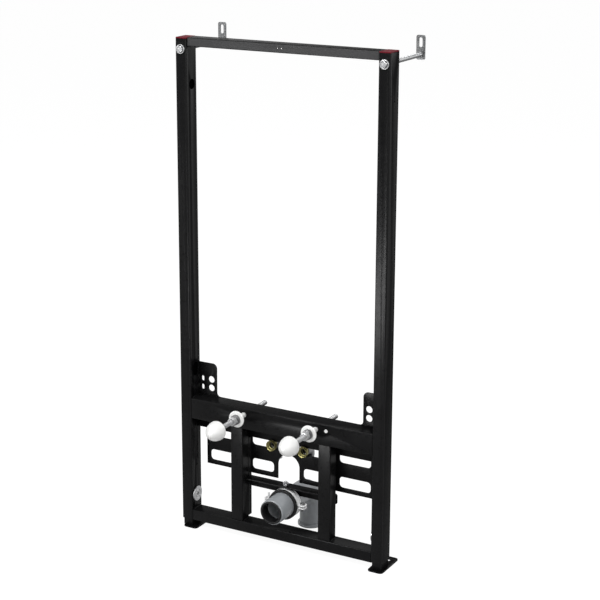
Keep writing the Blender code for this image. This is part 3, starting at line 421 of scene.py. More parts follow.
def nut(bm, axis, center, bore, radius, t0, t1, degrees):
    # Hexagon nut chamfered at 30 degrees at both ends; degrees is its turn.
    phase = math.radians(degrees)
    rim = 0.0007
    start = 0.975 * radius * math.cos(math.radians(30.0))
    rises = [(radius - start) / 1.73 * k / 4.0 for k in range(5)]
    outlines = [hexagon(*center, radius, start + 1.73 * rise, phase=phase) for rise in rises]
    sections = [(outline, t0 + rise) for outline, rise in zip(outlines, rises)]
    sections += [(outline, t1 - rise) for outline, rise in zip(reversed(outlines), reversed(rises))]
    ring = hexagon(*center, 1.0, bore, phase=phase)
    wide = hexagon(*center, 1.0, bore + rim, phase=phase)
    sections += [(wide, t1), (ring, t1 - rim), (ring, t0 + rim), (wide, t0)]
    loft(bm, sections, axis, closed=True)


def station(x, y, z, degrees, radius, bore):
    # One ring of a swept pipe; degrees is how far the pipe's direction points down from level.
    angle = math.radians(degrees)
    return Vector((x, y, z)), Vector((0.0, math.cos(angle), -math.sin(angle))), radius, bore


def quarter_turn(x, axis_y, level, bend, radius, bore, steps):
    # Stations from level, at height level, to straight down at depth axis_y.
    rows = []
    for index in range(steps + 1):
        angle = math.radians(90.0 * index / steps)
        y = axis_y - bend + bend * math.sin(angle)
        z = level - bend + bend * math.cos(angle)
        rows.append(station(x, y, z, 90.0 * index / steps, radius, bore))
    return rows


def sweep(bm, stations, count):
    outer, inner = [], []
    side = Vector((1.0, 0.0, 0.0))
    turns = [2.0 * math.pi * index / count for index in range(count)]
    for center, direction, radius, bore in stations:
        up = direction.cross(side).normalized()
        rays = [side * math.cos(turn) + up * math.sin(turn) for turn in turns]
        outer.append([bm.verts.new(center + ray * radius) for ray in rays])
        inner.append([bm.verts.new(center + ray * bore) for ray in rays])
    join(bm, outer + inner[::-1], closed=True)


def bead(bm, points, radius, ripple=0.0022):
    # Weld bead: a thin rippled tube along the points.
    rings = []
    length = 0.0
    last = len(points) - 1
    turns = [2.0 * math.pi * k / 10 for k in range(10)]
    for index, point in enumerate(points):
        here = Vector(point)
        direction = (Vector(points[min(index + 1, last)]) - Vector(points[max(index - 1, 0)])).normalized()
        side = direction.cross(Vector((0.31, 0.52, 0.79))).normalized()
        up = direction.cross(side)
        if index:
            length += (here - Vector(points[index - 1])).length
        swell = radius * (0.86 + 0.14 * abs(math.sin(math.pi * length / ripple)))
        if index in (0, last):
            swell *= 0.4
        ring = [here + side * swell * math.cos(turn) + up * swell * math.sin(turn) for turn in turns]
        rings.append([bm.verts.new(spot) for spot in ring])
    join(bm, rings)
    bm.faces.new(rings[0])
    bm.faces.new(rings[-1])


def line(start, end, step=0.0005):
    start, end = Vector(start), Vector(end)
    count = max(2, int((end - start).length / step))
    return [start.lerp(end, index / count) for index in range(count + 1)]


def to_mesh(bm, name):
    bmesh.ops.remove_doubles(bm, verts=bm.verts, dist=0.0000005)
    bmesh.ops.recalc_face_normals(bm, faces=bm.faces)
    mesh = bpy.data.meshes.new(name)
    bm.to_mesh(mesh)
    bm.free()
    return mesh


def drill(bm, cutters, rim=0.0004):
    # Takes (outline, axis, t0, t1) holes out of bm and rounds its sharp edges.
    target = bpy.data.objects.new("work", to_mesh(bm, "work"))
    bpy.context.scene.collection.objects.link(target)
    tools = []
    for outline, axis, t0, t1 in cutters:
        tool = bmesh.new()
        loft(tool, [(outline, t0), (outline, t1)], axis)
        obj = bpy.data.objects.new("tool", to_mesh(tool, "tool"))
        bpy.context.scene.collection.objects.link(obj)
        modifier = target.modifiers.new("hole", "BOOLEAN")
        modifier.solver = "EXACT"
        modifier.object = obj
        tools.append(obj)
    result = target.evaluated_get(bpy.context.evaluated_depsgraph_get())
    out = bmesh.new()
    out.from_mesh(bpy.data.meshes.new_from_object(result))
    for obj in [target] + tools:
        bpy.data.objects.remove(obj, do_unlink=True)
    folds = [edge for edge in out.edges if len(edge.link_faces) == 2]
    sharp = [edge for edge in folds if edge.calc_face_angle() > math.radians(60.0)]
    bmesh.ops.bevel(out, geom=sharp, offset=rim, segments=2, profile=0.5, affect="EDGES", clamp_overlap=True)
    return out


pieces = bpy.data.collections.new("pieces")
bpy.context.scene.collection.children.link(pieces)


def add(name, bm, kind, node=None, body="frame", angle=32.0, look=None):
    # kind picks the material; look, if given, is a material other than the kind's own.
    mesh = to_mesh(bm, name)
    mesh.transform(Matrix.Translation(SHIFT))
    mesh.materials.append(MATERIALS[look or kind])
    mesh.shade_smooth()
    mesh.set_sharp_from_angle(angle=math.radians(angle))
    obj = bpy.data.objects.new(name, mesh)
    pieces.objects.link(obj)
    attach(obj, body)
    if node:
        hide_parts(node)


def turned(name, profile, axis, center, count, kind, node=None, look=None):
    # Piece turned on a lathe.
    bm = bmesh.new()
    lathe(bm, profile, axis, center, count)
    add(name, bm, kind, node, look=look)


# Steel frame
def make_uprights():
    for side, sign in SIDES:
        bm = bmesh.new()
        outer = sign * HALF_WIDTH
        top = TOP_Z - CAP_T - GAP
        box_tube(bm, sign * UP_IN, outer, 0.0, UP_D, UP_WALL, UP_CORNER, "z", UP_BOTTOM, top)
        # Four holes in the inner wall, one in the outer wall, and the arm's hole through front and back.
        t0, t1 = sorted((sign * (UP_IN - 0.004), sign * (UP_IN + 0.006)))
        holes = [(circle(0.022, UPPER_HOLE_Z, 0.0108), "x", t0, t1),
                 (rounded_rect(0.0112, 0.0328, 0.362, 0.392, 0.0106, 12), "x", t0, t1),
                 (circle(LOCK_Y, LOCK_Z, 0.0059, 32), "x", t0, t1),
                 (circle(0.022, 0.148, 0.0022, 24), "x", t0, t1),
                 (circle(0.0208, UPPER_HOLE_Z, 0.0020, 24), "x", outer - 0.005, outer + 0.005),
                 (circle(sign * UP_MID, ARM_Z, 0.0053, 32), "y", -0.004, UP_D + 0.004)]
        add(side + "_upright_tube", drill(bm, holes), "coat", side + "_upright")


def make_end_caps():
    # Thin lid on the upright with a plug inside it; play is the plug's way in from the outer faces.
    play = 0.0023
    for side, sign in SIDES:
        bm = bmesh.new()
        x0, x1 = sign * UP_MID - 0.5 * UP_W, sign * UP_MID + 0.5 * UP_W
        rim = rounded_rect(x0, x1, 0.0, UP_D, UP_CORNER)
        plug = rounded_rect(x0 + play, x1 - play, play, UP_D - play, 0.0008)
        seat = TOP_Z - CAP_T
        sections = [(inset(rim, 0.003), TOP_Z - 0.0001)]
        sections += [(inset(rim, off), TOP_Z - up) for off, up in edge_steps(0.0009, 4)]
        sections += [(rim, seat + 0.0003), (inset(rim, 0.0003), seat), (plug, seat), (plug, seat - 0.0110),
                     (inset(plug, 0.0006), seat - 0.0120)]
        loft(bm, sections, "z")
        add(side + "_cap", bm, "red", side + "_end_cap")


def make_rail(name, node, size, holes=(), look=None):
    bm = bmesh.new()
    box_tube(bm, *size, RAIL_WALL, RAIL_CORNER, "x", -RAIL_HALF, RAIL_HALF)
    if holes:
        bm = drill(bm, holes)
    add(name, bm, "coat", node, look=look)


def make_rails():
    face = TOP_RAIL[0]
    tiny = [(circle(x, TINY_Z, 0.0014, 24), "y", face - 0.004, face + 0.004) for x in TINY_XS]
    make_rail("upper_tube", "top_rail", TOP_RAIL, tiny, "upper_coat_painted_sheen")
    bm = bmesh.new()
    pin = [(0.0, face + 0.0002), (0.0008, face + 0.0002), (0.0011, face + 0.0006), (0.0011, face + 0.0030),
           (0.0, face + 0.0030)]
    for x in TINY_XS:
        lathe(bm, pin, "y", (x, TINY_Z), 24)
    add("tiny_pins", bm, "white")
    places = (-SPARE_X, -STUD_X, STUD_X, SPARE_X)
    bolts = [(circle(x, STUD_Z, STUD_HOLE_R, 48), "y", -0.004, 0.044) for x in places]
    make_rail("stud_tube", "stud_rail", MID_RAIL, bolts)
    make_rail("lower_tube", "bottom_rail", LOW_RAIL)


def make_posts():
    # Tube between the rails and the narrow rib behind it.
    for side, sign in SIDES:
        bm = bmesh.new()
        inner, outer = sign * POST_X, sign * (POST_X + POST_W)
        bottom, top = LOW_RAIL[3] + GAP, MID_RAIL[2] - GAP
        box_tube(bm, inner, outer, POST_Y0, POST_Y1, RAIL_WALL, RAIL_CORNER, "z", bottom, top)
        rib = rounded_rect(inner, sign * (POST_X + 0.004), 0.047, EAR_BOTTOM - GAP, 0.0003, 2)
        plate(bm, [rib], "y", POST_Y1 - 0.0009, GRID_Y0 - GAP)
        add(side + "_short_post", bm, "coat", side + "_post")


def make_ear_plate():
    rim = [(-EAR_HALF, EAR_BOTTOM), (EAR_HALF, EAR_BOTTOM), (EAR_HALF, EAR_TOP)]
    rim += arc(EAR_IN + EAR_CORNER, EAR_TOP - EAR_CORNER, EAR_CORNER, 90.0, 180.0, 12)
    rim += arc(EAR_IN - EAR_FILLET, EAR_MID + EAR_FILLET, EAR_FILLET, 0.0, -90.0, 12)
    rim += [(-x, z) for x, z in reversed(rim[2:])]
    holes = []
    for sign in (-1.0, 1.0):
        for z in EAR_HOLE_ZS:
            x = sign * EAR_SLOT_X
            holes.append(circle(sign * EAR_HOLE_X, z, 0.0078, 48))
            holes.append(rounded_rect(x - 0.0033, x + 0.0033, z - 0.006, z + 0.006, 0.0032, 8))
        for x in (STUD_X, SPARE_X):
            holes.append(circle(sign * x, STUD_Z, STUD_HOLE_R, 40))
    bm = bmesh.new()
    plate(bm, [rim] + holes, "y", EAR_Y0, EAR_Y1)
    add("eared_sheet", bm, "coat", "ear_plate")


def make_grid_plate():
    rim = [(-GRID_HALF, GRID_BOTTOM), (-ARCH_R, GRID_BOTTOM)]
    rim += arc(0.0, ARCH_TOP - ARCH_R, ARCH_R, 180.0, 0.0, 32)
    rim += [(ARCH_R, GRID_BOTTOM), (GRID_HALF, GRID_BOTTOM), (GRID_HALF, GRID_TOP), (-GRID_HALF, GRID_TOP)]
    holes = []
    for sign in (-1.0, 1.0):
        for z, inner in ((0.157, 0.0377), (0.2145, 0.0265)):
            for a, b in ((inner, 0.093), (0.127, 0.203)):
                holes.append(rounded_rect(sign * a, sign * b, z, z + SLOT_H, SLOT_CORNER, 10))
    bm = bmesh.new()
    plate(bm, [rim] + holes, "y", GRID_Y0, GRID_Y1)
    add("slotted_sheet", bm, "coat", "slotted_plate")


def make_bar():
    # Upright web with a round notch over the bend, and a level shelf with a hole for the hanging bolt.
    rim = rounded_rect(-BAR_HALF, BAR_HALF, BAR_Z0, BAR_Z1, 0.005, 8)
    bm = bmesh.new()
    loft(bm, [(rim, GRID_Y0), (rim, GRID_Y0 + BAR_T)], "y")
    web = drill(bm, [(circle(0.0, WASTE_Z, BAR_HOLE_R, 96), "y", 0.040, 0.052)], 0.0003)
    shelf = bmesh.new()
    seat = rounded_rect(-SHELF_HALF, SHELF_HALF, 0.022, 0.0470, 0.0006, 3)
    plate(shelf, [seat, circle(0.0, CLAMP_MID, 0.0045, 40)], "z", SHELF_Z, BAR_Z1)
    web.from_mesh(to_mesh(shelf, "shelf"))
    add("hanging_bar", web, "coat", "clamp_bar")


def make_lock(side, sign):
    # Disc on the upright's inner side, with a hexagon socket and a shank through the upright's wall.
    # steps: (radius, way in from the disc's outer face).
    thick, shank = 0.0025, 0.0055
    outer = sign * (UP_IN - GAP - thick)
    steps = ((shank, thick + GAP + 0.0017), (shank, thick), (0.0172, thick), (0.0175, thick - 0.0003),
             (0.0175, 0.0006), (0.0171, 0.0001), (0.0166, 0.0), (0.0105, 0.0), (0.0100, 0.0005),
             (0.0085, 0.0005), (0.0080, 0.0), (0.0052, 0.0))
    socket = hexagon(LOCK_Y, LOCK_Z, 0.0042, 1.0)
    sections = [(circle(LOCK_Y, LOCK_Z, radius, 72), outer + sign * into) for radius, into in steps]
    sections += [(socket, outer + sign * into) for into in (0.0004, 0.0035)]
    bm = bmesh.new()
    loft(bm, sections, "x")
    add(side + "_lock_disc", bm, "zinc", side + "_leg_lock")


def make_legs():
    # Tube that slides in the upright, its foot plate and the lock; play is its distance from the outer faces.
    play = 0.0023
    for side, sign in SIDES:
        x = FOOT_X[side]
        bm = bmesh.new()
        inner, outer = sign * (UP_IN + play), sign * (HALF_WIDTH - play)
        box_tube(bm, inner, outer, play, UP_D - play, 0.002, 0.0015, "z", FOOT_T + GAP, 0.3303)
        add(side + "_sliding_leg", bm, "coat", side + "_leg", side + "_foot")
        bm = bmesh.new()
        base = rounded_rect(x - 0.018, x + 0.018, -0.005, 0.081, 0.008, 12)
        plate(bm, [base, circle(x, 0.064, 0.0055, 40)], "z", 0.0, FOOT_T)
        add(side + "_base", bm, "coat", side + "_foot_plate", side + "_foot")
        make_lock(side, sign)


# Fittings
def make_sleeve(side, center):
    # Flange in front and a thin tube back to the rail.
    face, back = FLANGE_Y, MID_RAIL[0] - GAP
    profile = [(0.0056, face), (0.0140, face), (0.0185, face + 0.0003), (0.0185, face + 0.0035),
               (0.0080, face + 0.0035), (0.0060, face + 0.0050), (0.0060, back), (0.0056, back)]
    turned(side + "_sleeve", rounded(profile, 0.0007), "y", center, 80, "white", side + "_stud_sleeve")


def make_front_nut(side, center):
    seat = FLANGE_Y - GAP
    turn = {"left": -8.0, "right": -5.0}[side]
    bm = bmesh.new()
    nut(bm, "y", center, STUD_R - 0.0002, 0.0100, seat - 0.0200, seat - 0.0078, turn)
    add(side + "_front_nut", bm, "zinc", side + "_stud_nut", look="steel")
    # The collar takes the darker bracket zinc: a painted shade.
    collar = [(0.0058, seat - 0.0075), (0.0106, seat - 0.0075), (0.0110, seat - 0.0062),
              (0.0112, seat - 0.0020), (0.0112, seat), (0.0058, seat)]
    turned(side + "_front_collar", rounded(collar, 0.0004), "y", center, 64, "bracket")


def make_cap(side, center):
    # Hollow dome with a boss inside, bored for the stud's end.
    tip, rear, radius, wall = -0.142, -0.108, 0.0215, 0.0022
    dome = 0.94 * (rear - tip)
    angles = [math.radians(90.0 * index / 24) for index in range(25)]
    profile = [(0.0, tip)]
    for angle in angles[1:]:
        profile.append((radius * math.sin(angle), tip + dome * (1.0 - math.cos(angle))))
    profile += [(radius * 0.985, rear - 0.0006), (radius * 0.975, rear), (radius * 0.975 - 0.0016, rear)]
    for angle in angles[:6:-1]:
        along = tip + wall + (dome - wall) * (1.0 - math.cos(angle))
        profile.append(((radius - wall) * math.sin(angle), along))
    mouth, end, bore = rear - 0.0015, STUD_Y0 - GAP, 0.0057
    profile += [(0.0092, tip + 0.012), (0.0088, rear - 0.002), (0.0080, mouth), (bore, mouth), (bore, end),
                (0.0, end)]
    turned(side + "_protection_cap", profile, "y", center, 96, "white", side + "_stud_cap")


def make_studs():
    for side, sign in SIDES:
        center = (sign * STUD_X, STUD_Z)
        bm = bmesh.new()
        thread(bm, "y", center, STUD_Y0, STUD_Y1, STUD_R, 0.00175, 0.0009)
        add(side + "_threaded_stud", bm, "zinc", side + "_stud")
        make_sleeve(side, center)
        make_front_nut(side, center)
        bm = bmesh.new()
        start = EAR_Y1 + GAP
        nut(bm, "y", center, STUD_R - 0.0002, 0.0105, start, start + 0.010, 23.0)
        add(side + "_rear_nut", bm, "zinc", side + "_stud_back_nut")
        make_cap(side, center)


def make_plugs():
    # White plug in a dark bush, as the photograph shows it in the right spare stud hole.
    front = MID_RAIL[0]
    back = front + 0.0050
    plug = [(0.0, front - 0.0004), (0.0036, front - 0.0002), (0.0040, front + 0.0006), (0.0040, back),
            (0.0, back)]
    bush = [(0.0044, front + 0.0010), (0.0064, front + 0.0010), (0.0064, back), (0.0044, back)]
    for side, sign in SIDES:
        center = (sign * SPARE_X, STUD_Z)
        turned(side + "_spare_plug", plug, "y", center, 40, "white")
        turned(side + "_spare_bush", rounded(bush, 0.0004), "y", center, 40, "coat")


def make_wall_arms():
    # Threaded rod welded to a slotted wall plate, and a washer with a button in front.
    seat = -GAP
    washer = [(0.0072, seat - 0.0018), (0.0096, seat - 0.0026), (0.0103, seat - 0.0018), (0.0103, seat),
              (0.0072, seat)]
    button = [(0.0, seat - 0.0044), (0.0054, seat - 0.0044), (0.0066, seat - 0.0036), (0.0068, seat),
              (0.0051, seat), (0.0051, seat - 0.0028), (0.0, seat - 0.0028)]
    for side, sign in SIDES:
        x = sign * UP_MID
        center = (x, ARM_Z)
        bm = bmesh.new()
        rim = rounded_rect(x - 0.010, x + 0.010, ARM_Z - 0.0105, ARM_Z + 0.0405, 0.004, 10)
        slot = rounded_rect(x - 0.004, x + 0.004, ARM_Z + 0.0155, ARM_Z + 0.0355, 0.0039, 12)
        plate(bm, [rim, slot], "y", PLATE_Y0, PLATE_Y1)
        thread(bm, "y", center, -0.0030, PLATE_Y0 + 0.001, ARM_R, 0.0015, 0.0007)
        seam = [(a, PLATE_Y0 - 0.0003, b) for a, b in arc(x, ARM_Z, 0.0052, 0.0, 360.0, 64)]
        bead(bm, seam, 0.0013)
        add(side + "_wall_bracket", bm, "zinc", side + "_wall_arm", look="bracket")
        name, node = side + "_arm_nut", side + "_wall_arm_nut"
        turned(name, rounded(washer, 0.0003), "y", center, 72, "zinc", node, look="steel")
        turned(side + "_arm_button", rounded(button, 0.0004), "y", center, 72, "zinc")


def make_waste_bend():
    # mouth: (distance from the socket's end, less in radius, more in bore); neck: where the reducer starts.
    mouth = ((0.0, 0.0022, 0.0003), (0.0003, 0.0012, 0.0), (0.0010, 0.0004, 0.0), (0.0022, 0.0, 0.0))
    neck = 0.049
    stations = []
    for ahead, less, more in mouth:
        stations.append(station(0.0, SOCKET_Y0 + ahead, WASTE_Z, 0.0, SOCKET_R - less, SOCKET_BORE + more))
    stations.append(station(0.0, neck, WASTE_Z, 0.0, SOCKET_R, SOCKET_BORE))
    for index in range(9):
        share = index / 8
        drop = 0.5 - 0.5 * math.cos(math.pi * share)
        radius = SOCKET_R + (PIPE_R - SOCKET_R) * drop
        bore = SOCKET_BORE + (PIPE_BORE - SOCKET_BORE) * drop
        stations.append(station(0.0, neck + (SOCKET_Y1 - neck) * share, WASTE_Z, 0.0, radius, bore))
    stations += quarter_turn(0.0, AXIS_Y, WASTE_Z, BEND, PIPE_R, PIPE_BORE, 28)
    rim, edge = 0.0290, 0.0286
    for z, radius in ((0.0111, PIPE_R), (0.0105, PIPE_R), (0.0102, edge), (0.0097, rim), (0.0035, rim),
                      (0.0030, edge)):
        stations.append(station(0.0, AXIS_Y, z, 90.0, radius, PIPE_BORE))
    bm = bmesh.new()
    sweep(bm, stations, 96)
    add("waste_bend", bm, "gray", "waste_elbow", angle=50.0)


def make_waste():
    make_waste_bend()
    center = (0.0, WASTE_Z)
    plug, lip = SOCKET_BORE - GAP, 0.0263
    seal = [(0.0218, SEAL_Y0), (0.0250, SEAL_Y0), (lip, SEAL_Y0 + 0.0014), (lip, SOCKET_Y0 - GAP),
            (plug, SOCKET_Y0 - GAP), (plug, SEAL_Y1), (0.0212, SEAL_Y1), (0.0205, SEAL_Y0 + 0.006)]
    turned("rubber_sleeve", rounded(seal, 0.0009, 5), "y", center, 96, "rubber", "waste_seal")
    outer, inner = SOCKET_BORE - 0.0002, SOCKET_BORE - 0.0009
    start, end = SEAL_Y1 + 0.0004, 0.0485
    sleeve = [(outer, start), (outer, end), (inner, end), (inner, start)]
    turned("inner_sleeve", sleeve, "y", center, 96, "pale")


def make_bands():
    # Half bands with a groove, each with an ear at both ends; section: (depth, radius).
    y0, y1 = CLAMP_Y0, CLAMP_Y1
    low, high = BAND_R0 + 0.0006, BAND_R2 - 0.0006
    section = [(y0 + 0.0003, BAND_R0), (y1 - 0.0003, BAND_R0), (y1, BAND_R0 + 0.0003),
               (y1, BAND_R2 - 0.0004), (y1 - 0.0006, BAND_R2), (y1 - 0.0022, BAND_R2), (y1 - 0.0028, high),
               (y1 - 0.0030, low), (y1 - 0.0050, low), (y1 - 0.0052, high), (y1 - 0.0058, BAND_R2 - 0.0001),
               (y0 + 0.0062, BAND_R2), (y0 + 0.0010, BAND_R2 - 0.0003), (y0, BAND_R2 - 0.0009),
               (y0, BAND_R0 + 0.0003)]
    steps = 72
    start = math.asin(0.0015 / BAND_R0)
    angles = [start + (math.pi - 2.0 * start) * index / steps for index in range(steps + 1)]
    for node, sign in (("clamp_upper", 1.0), ("clamp_lower", -1.0)):
        bm = bmesh.new()
        rings = []
        for angle in angles:
            across, above = math.cos(angle), sign * math.sin(angle)
            rings.append([bm.verts.new((r * across, y, WASTE_Z + r * above)) for y, r in section])
        join(bm, rings)
        bm.faces.new(rings[0])
        bm.faces.new(rings[-1])
        bottom, top = sorted((WASTE_Z + sign * 0.0015, WASTE_Z + sign * 0.0043))
        for side in (-1.0, 1.0):
            inner, outer = side * (BAND_R0 + 0.0010), side * (BAND_R2 + 0.016)
            rim = rounded_rect(inner, outer, y0 + 0.0002, y1 - 0.0002, 0.0045, 10)
            plate(bm, [rim, circle(side * SCREW_X, CLAMP_MID, 0.0034, 32)], "z", bottom, top)
        add(node + "_half", bm, "zinc", node, look="band")


def make_band_screw(side, sign):
    # The right screw hangs from its head, the left one stands on its head with the shaft up.
    center = (sign * SCREW_X, CLAMP_MID)
    bm = bmesh.new()
    if side == "left":
        look = "band"
        seat = WASTE_Z - SCREW_SEAT - SCREW_HEAD
        thread(bm, "z", center, seat + 0.0038, WASTE_Z + 0.0150, 0.0024, 0.0010, 0.0004, 16, 0.0006)
    else:
        # The right screw takes the darker bracket zinc: a painted shade under the band and pipe.
        look = "bracket"
        seat = WASTE_Z + SCREW_SEAT
        thread(bm, "z", center, WASTE_Z - 0.0123, seat + 0.0002, 0.0030, 0.0010, 0.0005, 16, 0.0006)
    top = seat + SCREW_HEAD
    turn = math.radians(20.0 * sign)
    slot = hexagon(*center, 0.0022, 1.0, phase=turn)
    outer = hexagon(*center, 1.0, 0.0055, phase=turn)
    sections = [(outer, seat), (outer, top - 0.0008), (inset(outer, 0.0003), top - 0.0002),
                (inset(outer, 0.0009), top), (inset(slot, -0.0001), top), (slot, top - 0.0002),
                (slot, top - 0.0022)]
    loft(bm, sections, "z")
    add(side + "_band_screw", bm, "zinc", side + "_clamp_screw", look=look)


def make_clamp():
    front, back = CLAMP_Y0 - GAP, CLAMP_Y1 + GAP
    lining = [(0.0288, CLAMP_Y0 - 0.0062), (0.0350, CLAMP_Y0 - 0.0056), (0.0351, front), (0.0316, front),
              (0.0316, back), (0.0343, back), (0.0343, CLAMP_Y1 + 0.0025), (0.0288, CLAMP_Y1 + 0.0025)]
    turned("clamp_lining", rounded(lining, 0.0009), "y", (0.0, WASTE_Z), 96, "rubber", "clamp_liner")
    make_bands()
    for side, sign in SIDES:
        make_band_screw(side, sign)
    center = (0.0, CLAMP_MID)
    bm = bmesh.new()
    base, neck, boss = WASTE_Z + BAND_R1 + GAP, SHELF_Z - GAP, 0.0061
    lathe(bm, rounded([(0.0, base), (boss, base), (boss, neck), (0.0, neck)], 0.0006), "z", center, 48)
    thread(bm, "z", center, neck - 0.0005, BAR_Z1 + 0.010, 0.0040, 0.00125, 0.0006, 18)
    add("hanging_bolt", bm, "zinc", "hanger_bolt")
    bm = bmesh.new()
    seat = BAR_Z1 + GAP
    nut(bm, "z", center, 0.0038, 0.0075, seat, seat + 0.0065, 17.0)
    add("hanging_nut", bm, "zinc", "hanger_nut")


def make_brass_elbow(side, x):
    # Socket with a groove, a ribbed bore and a step down to the tail.
    # rings: (distance from the mouth, radius, bore).
    rim, groove, tail = 0.0120, 0.0113, 0.0089
    rings = ((0.0, 0.0116, 0.0108), (0.0004, 0.0119, 0.0102), (0.0014, rim, 0.0107),
             (0.0023, rim, 0.0101), (0.0032, rim, 0.0106), (0.0036, groove, 0.0101),
             (0.0046, groove, 0.0105), (0.0050, rim, 0.0100), (0.0068, rim, 0.0099),
             (0.0078, 0.0119, 0.0080), (0.0081, tail, 0.0079), (0.0140, tail, 0.0079))
    stations = [station(x, WATER_Y0 + ahead, WATER_Z, 0.0, radius, bore) for ahead, radius, bore in rings]
    bm = bmesh.new()
    sweep(bm, stations, 72)
    add(side + "_brass_elbow", bm, "brass", side + "_water_elbow", angle=40.0)


def make_plated_bend(side, x):
    stations = []
    for y, radius in ((0.0471, 0.0089), (0.0475, 0.0102), (0.0480, WATER_R)):
        stations.append(station(x, y, WATER_Z, 0.0, radius, WATER_BORE))
    stations += quarter_turn(x, WATER_AXIS, WATER_Z, WATER_BEND, WATER_R, WATER_BORE, 12)
    for drop, radius in ((0.0165, WATER_R), (0.0168, 0.0100), (0.0198, 0.0100)):
        stations.append(station(x, WATER_AXIS, WATER_Z - drop, 90.0, radius, WATER_BORE))
    bm = bmesh.new()
    sweep(bm, stations, 72)
    add(side + "_plated_bend", bm, "bracket", angle=40.0)


def make_union(side, x):
    # Nut and the end of its sleeve, below the bend.
    center = (x, WATER_AXIS)
    bottom, top = UNION_TOP - 0.0197, UNION_TOP - 0.0108
    bm = bmesh.new()
    nut(bm, "z", center, WATER_BORE, WATER_R, UNION_TOP - 0.0110, UNION_TOP, 12.0)
    sleeve = [(WATER_BORE, bottom), (0.0082, bottom), (0.0082, top), (WATER_BORE, top)]
    lathe(bm, rounded(sleeve, 0.0005), "z", center, 64)
    add(side + "_union", bm, "zinc", side + "_water_union")


def make_water():
    for side, sign in SIDES:
        x = sign * WATER_X
        make_brass_elbow(side, x)
        make_plated_bend(side, x)
        make_union(side, x)


def make_welds():
    for side, sign in SIDES:
        x = sign * (UP_IN - 0.0004)
        bm = bmesh.new()
        y0, y1, z0, z1 = TOP_RAIL
        bead(bm, line((x, y0 + 0.004, z0 - 0.0002), (x, y1 - 0.003, z0 - 0.0002)), 0.0013)
        bead(bm, line((x, y1 + 0.0002, z0 + 0.002), (x, y1 + 0.0002, z1 - 0.003)), 0.0012)
        y0, y1, z0, z1 = MID_RAIL
        for z in (z0 - 0.0002, z1 + 0.0002):
            bead(bm, line((x, y0 + 0.006, z), (x, y1 - 0.003, z)), 0.0013)
        y0, y1, z0, z1 = LOW_RAIL
        bead(bm, line((x, y0 + 0.006, z1 + 0.0002), (x, y1 - 0.003, z1 + 0.0002)), 0.0013)
        for px in (sign * (POST_X - 0.0002), sign * (POST_X + POST_W + 0.0002)):
            for z in (LOW_RAIL[3] + 0.0004, MID_RAIL[2] - 0.0004):
                bead(bm, line((px, POST_Y0 + 0.006, z), (px, POST_Y1 - 0.003, z)), 0.0011)
        add(side + "_weld_seams", bm, "coat")


make_uprights()
make_end_caps()
make_rails()
make_posts()
make_ear_plate()
make_grid_plate()
make_bar()
make_legs()
make_studs()
make_plugs()
make_wall_arms()
make_waste()
make_clamp()
make_water()
make_welds()


# Floor, light and camera
def seen(tree):
    # 1 for camera, glossy and transmission rays, 0 for the rest.
    path = tree.nodes.new("ShaderNodeLightPath")
    total = path.outputs["Is Camera Ray"]
    for name in ("Is Glossy Ray", "Is Transmission Ray"):
        node = tree.nodes.new("ShaderNodeMath")
        node.operation = "MAXIMUM"
        tree.links.new(total, node.inputs[0])
        tree.links.new(path.outputs[name], node.inputs[1])
        total = node.outputs[0]
    return total


def floor_material():
    # Seen rays meet a white glow with a faint shadow, the others a plain gray.
    mat = bpy.data.materials.new("floor")
    mat.use_nodes = True
    tree = mat.node_tree
    tree.nodes.clear()
    out = tree.nodes.new("ShaderNodeOutputMaterial")
    diffuse = tree.nodes.new("ShaderNodeBsdfDiffuse")
    diffuse.inputs["Color"].default_value = (0.50, 0.50, 0.50, 1.0)
    faint = tree.nodes.new("ShaderNodeBsdfDiffuse")
    faint.inputs["Color"].default_value = (0.16, 0.16, 0.16, 1.0)
    glow = tree.nodes.new("ShaderNodeEmission")
    glow.inputs["Strength"].default_value = 0.93
    both = tree.nodes.new("ShaderNodeAddShader")
    pick = tree.nodes.new("ShaderNodeMixShader")
    tree.links.new(faint.outputs[0], both.inputs[0])
    tree.links.new(glow.outputs[0], both.inputs[1])
    tree.links.new(seen(tree), pick.inputs[0])
    tree.links.new(diffuse.outputs[0], pick.inputs[1])
    tree.links.new(both.outputs[0], pick.inputs[2])
    tree.links.new(pick.outputs[0], out.inputs["Surface"])
    return mat


def make_floor():
    bm = bmesh.new()
    bmesh.ops.create_grid(bm, x_segments=1, y_segments=1, size=30.0)
    mesh = bpy.data.meshes.new("floor")
    bm.to_mesh(mesh)
    bm.free()
    mesh.materials.append(floor_material())
    floor = bpy.data.objects.new("floor", mesh)
    bpy.context.scene.collection.objects.link(floor)
    floor.location.z = -0.0002


def make_world():
    # White where it is seen, dimmer as a light on the object.
    world = bpy.data.worlds.new("studio")
    bpy.context.scene.world = world
    world.use_nodes = True
    tree = world.node_tree
    ground = tree.nodes["Background"]
    ground.inputs["Color"].default_value = (1.0, 1.0, 1.0, 1.0)
    tree.links.new(spread(tree, seen(tree), 0.0, 1.0, 0.36, 1.0), ground.inputs["Strength"])


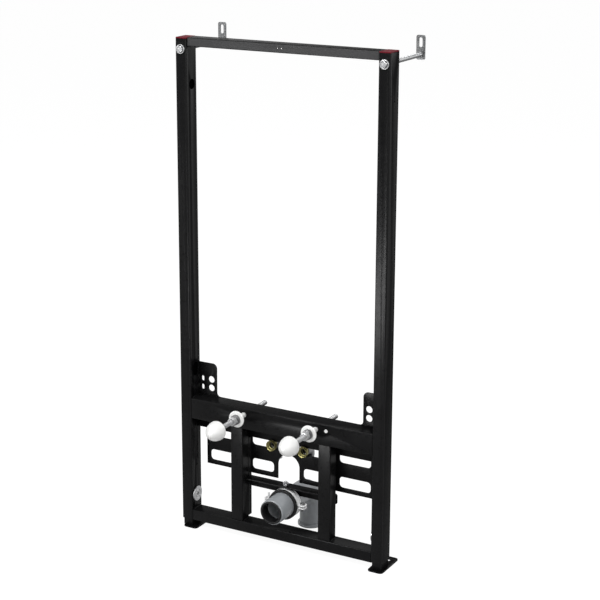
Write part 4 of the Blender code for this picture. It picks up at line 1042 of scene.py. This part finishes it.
def lamp(name, place, target, size, watts):
    data = bpy.data.lights.new(name, "AREA")
    data.shape = "RECTANGLE"
    data.size, data.size_y = size
    data.energy = watts
    obj = bpy.data.objects.new(name, data)
    bpy.context.scene.collection.objects.link(obj)
    obj.location = place
    obj.rotation_euler = (Vector(target) - Vector(place)).to_track_quat("-Z", "Y").to_euler()
    return obj


def make_lamps():
    middle = (0.0, 0.0, 0.5)
    lamp("key_light", (-0.5, -1.8, 3.1), middle, (1.1, 1.1), 74.0)
    lamp("fill_light", (2.6, -2.2, 2.4), middle, (1.4, 1.4), 54.0)
    lamp("back_light", (1.9, 3.0, 2.0), middle, (1.6, 1.6), 30.0)
    lamp("low_light", (-2.6, -4.2, 0.42), (-0.2, 0.0, 1.1), (1.4, 0.5), 12.0)
    # Only gloss shows this one: the gray reflection on the right upright's front.
    card = lamp("reflection_card", (-0.20, -0.87, 0.35), (0.24, 0.0, 0.60), (0.42, 0.32), 10.0)
    card.visible_camera = False
    card.visible_diffuse = False


def make_camera():
    # Solved from the photograph: angles in degrees, focal length and image centre in its pixels.
    image, centre_x, centre_y, focal, distance = 600.0, 266.7, 265.0, 1615.57, 3.49099
    azimuth, elevation, roll = math.radians(30.09), math.radians(14.948), math.radians(-0.077)
    target = Vector((-0.05301, 0.040, 0.63647)) + Vector((SHIFT.x, SHIFT.y, 0.0))
    level = Vector((-math.sin(azimuth), math.cos(azimuth), 0.0))
    ahead = level * math.cos(elevation) - Vector((0.0, 0.0, math.sin(elevation)))
    right = Vector((math.cos(azimuth), math.sin(azimuth), 0.0))
    up = right.cross(ahead)
    tilted_right = right * math.cos(roll) + up * math.sin(roll)
    tilted_up = up * math.cos(roll) - right * math.sin(roll)
    data = bpy.data.cameras.new("camera")
    data.sensor_width = 36.0
    data.lens = focal * data.sensor_width / image
    data.shift_x = (0.5 * image - centre_x) / image
    data.shift_y = (centre_y - 0.5 * image) / image
    camera = bpy.data.objects.new("camera", data)
    bpy.context.scene.collection.objects.link(camera)
    turn = Matrix((tilted_right, tilted_up, -ahead)).transposed().to_4x4()
    camera.matrix_world = Matrix.Translation(target - ahead * distance) @ turn
    bpy.context.scene.camera = camera


make_floor()
make_world()
make_lamps()
make_camera()

bpy.context.scene.view_settings.view_transform = "Standard"
